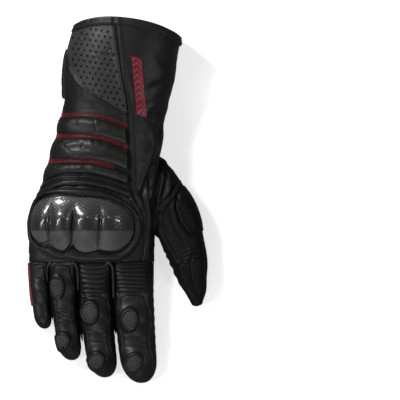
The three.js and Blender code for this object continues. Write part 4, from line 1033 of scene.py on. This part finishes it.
guard = {"edge": 2.0, "dome": 2.7, "barrel": 6.0, "valley": 1.6, "front": 0.64, "rows": 120, "around": 420,
         "edges": np.array([29.0, 51.0, 72.8, 100.0, 131.0])}  # the barrels' limits across the photograph
guardCentre = fromPhoto([(82, 225)])[0]
guardEdge = fromPhoto([(30.8, 222), (32.2, 212), (36, 205), (41, 200.5), (47, 198), (54, 196.6), (62, 196),
                       (71, 196.3), (81, 197), (89, 197.3), (96, 198), (105, 199.8), (113, 202.5),
                       (119, 205.6), (124, 209), (129, 213.4), (132, 218), (133.8, 223), (134, 228.5),
                       (133.4, 233), (132, 237), (129.4, 241.4), (126, 245), (122, 248), (118, 250),
                       (111, 251), (104, 250.6), (100, 249.6), (96, 250.6), (90, 252.3), (85, 252.5),
                       (80.5, 251.4), (77, 249.2), (74, 245), (72.8, 240.5), (72.0, 245), (69.5, 248.4),
                       (65, 249.6), (59, 249.6), (55, 248), (52.4, 244.5), (50.6, 240.5), (49.4, 243.4),
                       (46.5, 244), (42, 242.6), (38, 240), (34.6, 236), (32.2, 231), (31, 226.5)])


def radiusTable(edge, centre):  # an outline as its radius over its heading, repeated on both sides
    away = edge - centre
    heading = np.arctan2(away[:, 1], away[:, 0])
    order = np.argsort(heading)
    heading, radius = heading[order], np.hypot(*away.T)[order]
    return np.column_stack([np.r_[heading - 2 * math.pi, heading, heading + 2 * math.pi], np.tile(radius, 3)])


guardRadius = radiusTable(guardEdge, guardCentre)


def draped(x, y, lift):  # over the back, bending down the sides where x runs past the shoulder
    s = bodySection(y)
    side, away = np.sign(x - s["middle"]), np.abs(x - s["middle"])
    angle = angleAt(s, s["middle"] + side * np.minimum(away, 0.88 * s["half"]), 1)
    past = np.maximum(away - 0.88 * s["half"], 0) / (0.5 * (s["top"] - s["bottom"]))
    x, z = lifted(s, angle - side * past, lift)
    return joined(x, y, z)


def withoutNotches(angle):  # the guard's radius with its notches bridged: the largest one near by
    near = np.linspace(-0.1, 0.1, 21)
    return columnAt(guardRadius, 1, np.asarray(angle)[..., None] + near).max(-1)


def guardRise(x, y):  # a dome and four arched barrels, less the valleys between them, falling to the rim
    away = np.hypot(x - guardCentre[0], y - guardCentre[1])
    ring = away / withoutNotches(np.arctan2(y - guardCentre[1], x - guardCentre[0]))
    px, py = toPhoto(x, y)
    lean, edges = px + (py - 232) * 0.06, guard["edges"]
    k = np.clip(np.searchsorted(edges, lean) - 1, 0, 3)
    arc = np.sin(np.pi * np.clip((lean - edges[k]) / (edges[k + 1] - edges[k]), 0, 1)) ** 0.65
    arc = np.where(lean > 86, mix(0.45 + 0.55 * arc, arc, smooth(py, 226, 250) * 0.4), arc)
    gap = np.abs(lean[..., None] - edges[1:4]) / np.array([1.1, 1.1, 1.6])
    groove = (np.exp(-gap ** 2) * np.array([1, 1, 0.7])).sum(-1) * smooth(py, 204, 222)
    rise = guard["dome"] * (0.62 + 0.38 * smooth(py, 194, 221)) + guard["barrel"] * arc * smooth(py, 198, 219)
    rise = rise * (1 - guard["front"] * smooth(py, 229, 252)) - guard["valley"] * groove
    return guard["edge"] + (1 - ring ** 3.4) * rise


def makeGuard():  # rings from the middle to the outline, raised into four barrels, with a rounded edge
    angle = np.linspace(-math.pi, math.pi, guard["around"], endpoint=False)[None, :]
    ring = np.r_[np.linspace(0.002, 0.94, guard["rows"]), np.linspace(0.95, 1, 10)][:, None]
    radius = columnAt(guardRadius, 1, angle)
    x, y = guardCentre[0] + ring * radius * np.cos(angle), guardCentre[1] + ring * radius * np.sin(angle)
    lift = guardRise(x, y) * (1 - 0.35 * np.clip((ring - 0.965) / 0.035, 0, 1) ** 2)
    x, y, lift = np.vstack([x, x[-1:]]), np.vstack([y, y[-1:]]), np.vstack([lift, 0 * lift[-1:] - 0.8])
    points, faces = laid(draped, x, y, lift, wrap=True)
    _, py = toPhoto(x, y)
    # the second attribute fades the weave's light strands from py 206 to 224: painted shade for a dark reflection on
    # the barrels
    makePiece("knuckleGuard", points, faces, "carbonShell", ["knuckle_guard"],
              {"weave": 1 - smooth(py, 229.6, 231.8), "tow": 1 - 0.72 * smooth(py, 206, 224)})


welt = {"gap": 0.4, "height": 4.1, "rows": 30}
weltEdge = fromPhoto([(27.5, 224), (29, 208), (36, 197), (46, 190.5), (60, 187.6), (72, 187.4), (86, 188.2),
                      (100, 190), (114, 194.5), (127, 202), (136, 211), (141, 221), (142, 231), (139, 243),
                      (132.5, 253), (122, 260), (108, 262.2), (94, 262.6), (82, 262.4), (72, 260.8), (58, 259),
                      (46, 256), (36, 249), (29, 239)])
weltRadius = radiusTable(weltEdge, guardCentre)


def makeWelt():  # a padded band between the guard's outline, without its notches, and a wider outline
    angle = np.linspace(-math.pi, math.pi, guard["around"], endpoint=False)[None, :]
    inner = withoutNotches(angle) + welt["gap"]
    w = spread(welt["rows"])[:, None]
    radius = mix(inner, np.maximum(columnAt(weltRadius, 1, angle), inner + 3), w)
    x, y = guardCentre[0] + radius * np.cos(angle), guardCentre[1] + radius * np.sin(angle)
    puff = np.sin(np.pi * np.clip(w, 0.0, 1)) ** 0.42 * (1 - 0.25 * w)
    lift = welt["height"] * puff - 1.0 * hump(w, 0.2, 0.035) - 1.2 * hump(w, 0.8, 0.045)
    lift = lift + 0.35 * np.sin(angle * 110) * hump(w, 0.12, 0.09) + 0.25 * noise(x, y, 0 * x, 6, 31) * puff
    lift[[0, -1]] = -0.8
    points, faces = laid(draped, x, y, lift, wrap=True)
    makePiece("knuckleWelt", points, faces, "blackLeather", ["knuckle_welt"])
    line = np.linspace(-math.pi, math.pi, 900)
    for share, high in ((0.2, 0.78), (0.8, 0.45)):
        r = mix(np.interp(line, angle[0], inner[0]), columnAt(weltRadius, 1, line), share)
        sewPath(draped, "black", "welt", guardCentre[0] + r * np.cos(line), guardCentre[1] + r * np.sin(line),
                lift=welt["height"] * high - 0.35)


makeGuard()
makeWelt()
print("guard made")


# Where each sewn-on sheet lies: u and v run from 0 to 1 across and along it, in straight or rounded steps of
# the body's y and angle, and lift stands off the leather.
cuffLabel = {"x": 15.2, "y": 48.6, "width": 9.5, "length": 53, "lean": 4.8, "drop": 3.3}
pleat = {"ends": (0.14, 0.8), "sides": (176, 200)}  # in the cuff's length, and as angles


def labelPlace(u, v, lift):  # slanted across the cuff's back
    x = cuffLabel["x"] + cuffLabel["lean"] * v + cuffLabel["width"] * u
    return onBack(x, cuffLabel["y"] - cuffLabel["length"] * v - cuffLabel["drop"] * u, lift)


def pleatPlace(u, v, lift):  # down the cuff's outer side
    return bodyPoint(mix(*pleat["ends"], v) * sizes["cuffLength"], np.radians(mix(*pleat["sides"], u)), lift)


def flapPlace(u, v, lift):  # under the cuff, its free end rounded
    across = mix(-0.97, 0.36 - 0.1 * np.abs(2 * v - 1) ** 4 - 0.16 * v, u)
    s = bodySection(sizes["cuffLength"])
    top = np.minimum(mouthAt(angleAt(s, s["middle"] - across * s["half"], -1)) - 7.5, 0.93 * sizes["cuffLength"])
    return palmPoint(mix(top, 0.4 * sizes["cuffLength"] - 3 * (1 - u), v), across, lift)


strap = {"top": 0.31, "width": 21.5}  # top as a share of the cuff's length
outerSide = math.radians(190)  # the angle where the underside meets the little finger's side


def strapPlace(u, v, lift):  # under the wrist, pointed at its end
    point = np.clip((u - 0.78) / 0.22, 0, 1)
    middle = strap["top"] * sizes["cuffLength"] - strap["width"] * 0.56
    return palmPoint(middle + strap["width"] * (0.5 - v) * (1 - point * 0.82), mix(-0.8, 0.74, u), lift)


def keeperPlace(u, v, lift):  # over the strap at the little finger's side
    top = strap["top"] * sizes["cuffLength"]
    s = bodySection(top - v * strap["width"])
    angle = angleAt(s, s["middle"] + 0.8 * s["half"] + 0.8, -1) + u * 6 / s["half"]
    return bodyPoint(mix(top + 2.5, top - 24, v), angle, lift)


# shares of the hand's length: the pad's top and its ends at both sides, the patch's top and bottom, its slant
heel = {"top": -0.07, "ends": (-0.43, -0.95), "patch": (-0.17, -0.33), "slant": 0.09}


def heelPlace(u, v, lift):  # the heel of the palm, longer towards the little finger
    y = mix(heel["top"], mix(*heel["ends"], smooth(u, 0.5, 0.85)), v) * sizes["handLength"]
    s = bodySection(y)
    return bodyPoint(y, mix(angleAt(s, s["middle"] + 0.28 * s["half"], -1), outerSide + 0.03, u), lift)


def heelPatchPlace(u, v, lift):  # on the heel pad, its inner end round
    y = mix(*heel["patch"], v) * sizes["handLength"]
    bulge = np.sqrt(np.clip(1 - (2 * v - 1) ** 2, 0, 1))
    s = bodySection(y)
    start = angleAt(s, s["middle"] - (0.02 - 0.06 * bulge) * s["half"], -1)
    return bodyPoint(y - heel["slant"] * sizes["handLength"] * u * v, mix(start, outerSide + 0.06, u), lift)


palmPatch = {"top": -0.6, "bottom": -0.88, "sides": (-0.93, 0.55)}
palmLabel = {"right": 0.31, "along": 0.55, "length": 50, "width": 9, "lean": 4.5, "rise": 3, "height": 1.3}


def palmPatchPlace(u, v, lift):  # across the palm below the fingers, narrower to one end
    nose = np.clip((u - 0.75) / 0.25, 0, 1) ** 2
    top, bottom = palmPatch["top"] - 0.07 * u - 0.06 * nose, palmPatch["bottom"] + 0.03 * u + 0.05 * nose
    return palmPoint(mix(top, bottom, v) * sizes["handLength"], mix(*palmPatch["sides"], u), lift)


def palmLabelPlace(u, v, lift):  # flat under the palm patch
    right = -sizes["palmOffset"] + palmLabel["right"] * sizes["palmWidth"]
    middle = mix(palmPatch["top"], palmPatch["bottom"], palmLabel["along"]) * sizes["handLength"]
    x = right - u * palmLabel["length"] - v * palmLabel["lean"]
    return joined(x, middle + (0.5 - v) * palmLabel["width"] + palmLabel["rise"] * u, palmLabel["height"] - lift)


touchPad = {"along": 0.8, "half": 10.9, "share": 0.62, "height": 0.9}
sidePad = {"reach": 0.66, "sides": (152, 206)}


def touchPlace(u, v, lift):  # flat under the index finger's tip
    s = fingerSection("index", touchPad["along"])[1]
    y = rootY - touchPad["along"] * fingers["index"]["length"] + (2 * v - 1) * touchPad["half"]
    return joined(s["middle"] + (2 * u - 1) * s["half"] * touchPad["share"], y, touchPad["height"] - lift)


def sidePadPlace(u, v, lift):  # along the little finger's outer side
    y, s, _ = fingerSection("little", sidePad["reach"] * v)
    x, z = lifted(s, np.radians(mix(*sidePad["sides"], u)), lift)
    return joined(x, y, z)


# place, width and length in mm, thickness, finish, slot, columns and rows, roundness of the edge, and what some
# have: a sewn groove as depth and inset, the depth of the seat, the fill of a pad
sheets = {
    "cuffLabel": (labelPlace, (cuffLabel["width"], cuffLabel["length"]), 1.0, "stripedLabel", "red_rubber",
                  (24, 90), 0.6, {}),
    "sidePleat": (pleatPlace, (14, 44), 2.6, "blackLeather", "black_leather", (40, 60), 3.0, {}),
    "cuffFlap": (flapPlace, (60, 32), 3.0, "blackLeather", "black_leather", (90, 60), 1.6, {"groove": (0.7, 4.2)}),
    "wristStrap": (strapPlace, (70, 21), 3.0, "blackLeather", "black_leather", (90, 40), 1.4, {}),
    "strapKeeper": (keeperPlace, (6, 26), 2.7, "bindingLeather", "binding_leather", (20, 40), 1.2, {}),
    "heelPad": (heelPlace, (80, 55), 2.3, "blackLeather", "black_leather", (130, 90), 1.2, {"fill": 0.5}),
    "heelPatch": (heelPatchPlace, (55, 24), 3.25, "aramidWeave", "aramid_weave", (80, 50), 0.8, {"seat": 1.4}),
    "palmPatch": (palmPatchPlace, (85, 36), 1.7, "gripLeather", "grip_leather", (100, 50), 0.8, {}),
    "palmLabel": (palmLabelPlace, (palmLabel["length"], palmLabel["width"]), 0.8, "stripedLabel", "red_rubber",
                  (80, 20), 0.5, {"seat": -0.4}),
    "touchPad": (touchPlace, (18, 22), 0.85, "gripLeather", "grip_leather", (30, 36), 0.6, {"seat": -0.5}),
    "littleSidePad": (sidePadPlace, (12, 38), 1.4, "edgedPad", "red_rubber", (40, 70), 1.2,
                      {"groove": (0.5, 2.9), "fill": 0.7}),
}
# rows of stitches round some of them: inset, height, colour and the sides, capitals for the far ones
borders = {"heelPad": (2.4, 2.35, "red", "uUvV"), "cuffFlap": (2.6, 3.0, "black", "uUvV"),
           "wristStrap": (2.4, 3.0, "black", "uUvV"), "palmPatch": (2.2, 1.75, "black", "vVU")}


def makeSheet(name, place, size, thickness, finish, slot, count, edge, extras):
    # A grid over place(u, v, lift): a quarter circle rounds it within edge of its border, which folds to its seat.
    u, v = np.meshgrid(spread(count[0]), spread(count[1]))
    away = np.minimum(np.minimum(u, 1 - u) * size[0], np.minimum(v, 1 - v) * size[1])
    seat, (depth, inset) = extras.get("seat", -0.7), extras.get("groove", (0, 1))
    lift = seat * 0.3 + (thickness - seat * 0.3) * np.sqrt(1 - (1 - np.clip(away / edge, 0, 1)) ** 2)
    lift -= depth * hump(away, inset, 0.5)
    lift[[0, -1]] = seat
    lift[:, [0, -1]] = seat
    points, faces = laid(place, u, v, lift)
    points[..., 2] = np.maximum(points[..., 2], 0.0)
    node = "".join("_" + c.lower() if c.isupper() else c for c in name)
    piece = makePiece(name, points, faces, finish, [node], {"across": u, "along": v})


def sewBorder(place, size, inset, lift, colour, sides):  # straight rows at the same distance from chosen sides
    line = np.linspace(0, 1, 200)
    du, dv = inset / size[0], inset / size[1]
    rows = {"u": (0 * line + du, mix(dv, 1 - dv, line)), "U": (0 * line + 1 - du, mix(dv, 1 - dv, line)),
            "v": (mix(du, 1 - du, line), 0 * line + dv), "V": (mix(du, 1 - du, line), 0 * line + 1 - dv)}
    for side in sides:
        sewPath(place, colour, "border", *rows[side], lift=lift)


for name, look in sheets.items():
    makeSheet(name, *look)
for name, look in borders.items():
    sewBorder(*sheets[name][:2], *look)
sewThreads()
print("sheets and stitches made")

piping = {"radius": 1.5, "around": 12}
# each runs up one finger, over the crotch and down the next: places in the photograph and heights in mm
pipes = [
    [(70.5, 290, 22), (70.2, 278, 27), (70.6, 268, 32), (73.4, 262.8, 36), (76.8, 267, 34), (77.8, 278, 28),
     (78, 290, 22)],
    [(104.4, 298, 22), (104, 282, 28), (104.6, 268, 34), (108.4, 262.6, 37.5), (112.4, 267, 35), (113.2, 282, 29),
     (113.4, 298, 23)],
    [(47, 288, 18), (46.8, 277, 23), (47.4, 267, 28), (49.6, 263, 30.5), (51.8, 267, 30), (52.4, 277, 25),
     (52.6, 288, 20)],
]


def makePiping(name, path):  # a round cord swept along a smooth line
    path = np.asarray(path, float)
    line = throughPoints(np.column_stack([fromPhoto(path[:, :2]), path[:, 2]]), 0.7)
    heading = unit(np.gradient(line, axis=0))
    side = unit(np.cross(heading, [0, 0, 1.0]))
    up = np.cross(side, heading)
    angle = circle(piping["around"])[None, :, None]
    thick = piping["radius"] * np.sin(np.pi * np.linspace(0.02, 0.98, len(line))) ** 0.2
    points = line[:, None] + thick[:, None, None] * (side[:, None] * np.cos(angle) + up[:, None] * np.sin(angle))
    faces = outwards(points, gridFaces(*points.shape[:2], wrapColumns=True))
    makePiece(name, points, faces, "bindingLeather")


for k, path in enumerate(pipes):
    makePiping(f"crotchPiping{k + 1}", path)

# joins: two fingers, and how far along the shorter one their wall reaches
sideWall = {"joins": [("little", "ring", 0.86), ("ring", "middle", 0.8), ("middle", "index", 0.62)],
            "extra": 1.3, "centre": 10.5, "half": 4.5, "rows": 60, "around": 16}


def makeSideWall(outer, inner, reach):  # a soft strip that fills the gap, an upright oval swept down it
    length = reach * min(fingers[outer]["length"], fingers[inner]["length"])
    d = np.linspace(0.5, length, sideWall["rows"])[:, None]
    left, right = (fingerSection(name, d / fingers[name]["length"])[1] for name in (outer, inner))
    a, b = left["middle"] + left["half"], right["middle"] - right["half"]
    close = np.sin(np.pi * np.clip(0.5 + 0.5 * d / length, 0, 0.995)) ** 0.4
    half = (np.maximum((b - a) / 2, 0) + sideWall["extra"]) * close
    angle = circle(sideWall["around"])
    z = sideWall["centre"] + sideWall["half"] * close * np.sin(angle) + 0.25 * np.sin(d * 0.9)
    points = joined((a + b) / 2 + half * np.cos(angle), rootY - d, z)
    faces = outwards(points, gridFaces(*points.shape[:2], wrapColumns=True))
    makePiece(outer + "SideWall", points, faces, "blackLeather")


for join in sideWall["joins"]:
    makeSideWall(*join)
print("piping and side walls made")

studio = {
    "floor": 0.82, "floorGlow": 0.6, "world": 0.11, "lens": 600, "cameraHeight": 6.03, "frameCentre": 200,
    # each light's place, what it points at, its size and its power
    "lights": {
        "key": ((-0.9, 0.8, 1.1), (0, 0, 0), (0.34, 0.34), 21.5),
        "fill": ((0.95, 0.15, 1.15), (0, 0, 0), (0.5, 0.5), 0.8),
        "low": ((-0.25, -1.3, 0.62), (0, 0, 0), (0.9, 0.3), 4.5),
        "stripLeft": ((-1.0, -0.42, 1.1), (-0.03, -0.01, 0), (0.16, 0.7), 5.0),
        "stripRight": ((0.9, -0.42, 1.1), (-0.03, -0.01, 0), (0.08, 0.4), 2.4),
        "spotTop": ((0.02, 0.06, 1.15), (-0.03, -0.01, 0), (0.07, 0.07), 0.36),
    },
}


def makeFloor():  # a plane that glows faintly, so that the ground is almost white
    bpy.ops.mesh.primitive_plane_add(size=6, location=(0, 0, -0.0002))
    floor = bpy.context.object
    floor.name = "floor"
    floor.visible_glossy = False  # keeps its glow out of the leather's gloss
    material, tree = newMaterial("paleFloor")
    tone = studio["floor"]
    fill(tree, tree.nodes["Principled BSDF"], {
        "Base Color": (tone, tone, tone, 1), "Roughness": 0.9, "Emission Color": (1, 1, 1, 1),
        "Emission Strength": studio["floorGlow"]})
    floor.data.materials.append(material)


def addObject(name, data, place):  # a lamp or a camera as an object of the scene
    thing = bpy.data.objects.new(name, data)
    bpy.context.scene.collection.objects.link(thing)
    thing.location = place
    return thing


def makeLight(name, place, target, size, watts):  # a soft rectangle turned to its target
    data = bpy.data.lights.new(name, "AREA")
    data.shape, data.energy = "RECTANGLE", watts
    data.size, data.size_y = size
    direction = mathutils.Vector(target) - mathutils.Vector(place)
    addObject(name, data, place).rotation_euler = direction.to_track_quat("-Z", "Y").to_euler()


def makeCamera():  # far above the middle of the photograph, looking straight down
    data = bpy.data.cameras.new("camera")
    data.sensor_width, data.lens = 36, studio["lens"]
    x, y = fromPhoto([[studio["frameCentre"]] * 2])[0]
    place = (x + shiftX) / 1000, (y + shiftY) / 1000, studio["cameraHeight"]
    bpy.context.scene.camera = addObject("camera", data, place)


makeFloor()
makeCamera()
for name, look in studio["lights"].items():
    makeLight(name, *look)
world = bpy.data.worlds.new("studio")
world.use_nodes = True
fill(world.node_tree, world.node_tree.nodes["Background"], {"Color": (1, 1, 1, 1), "Strength": studio["world"]})
bpy.context.scene.world = world
bpy.context.scene.view_settings.view_transform = "Standard"
print("floor, camera and lights made")
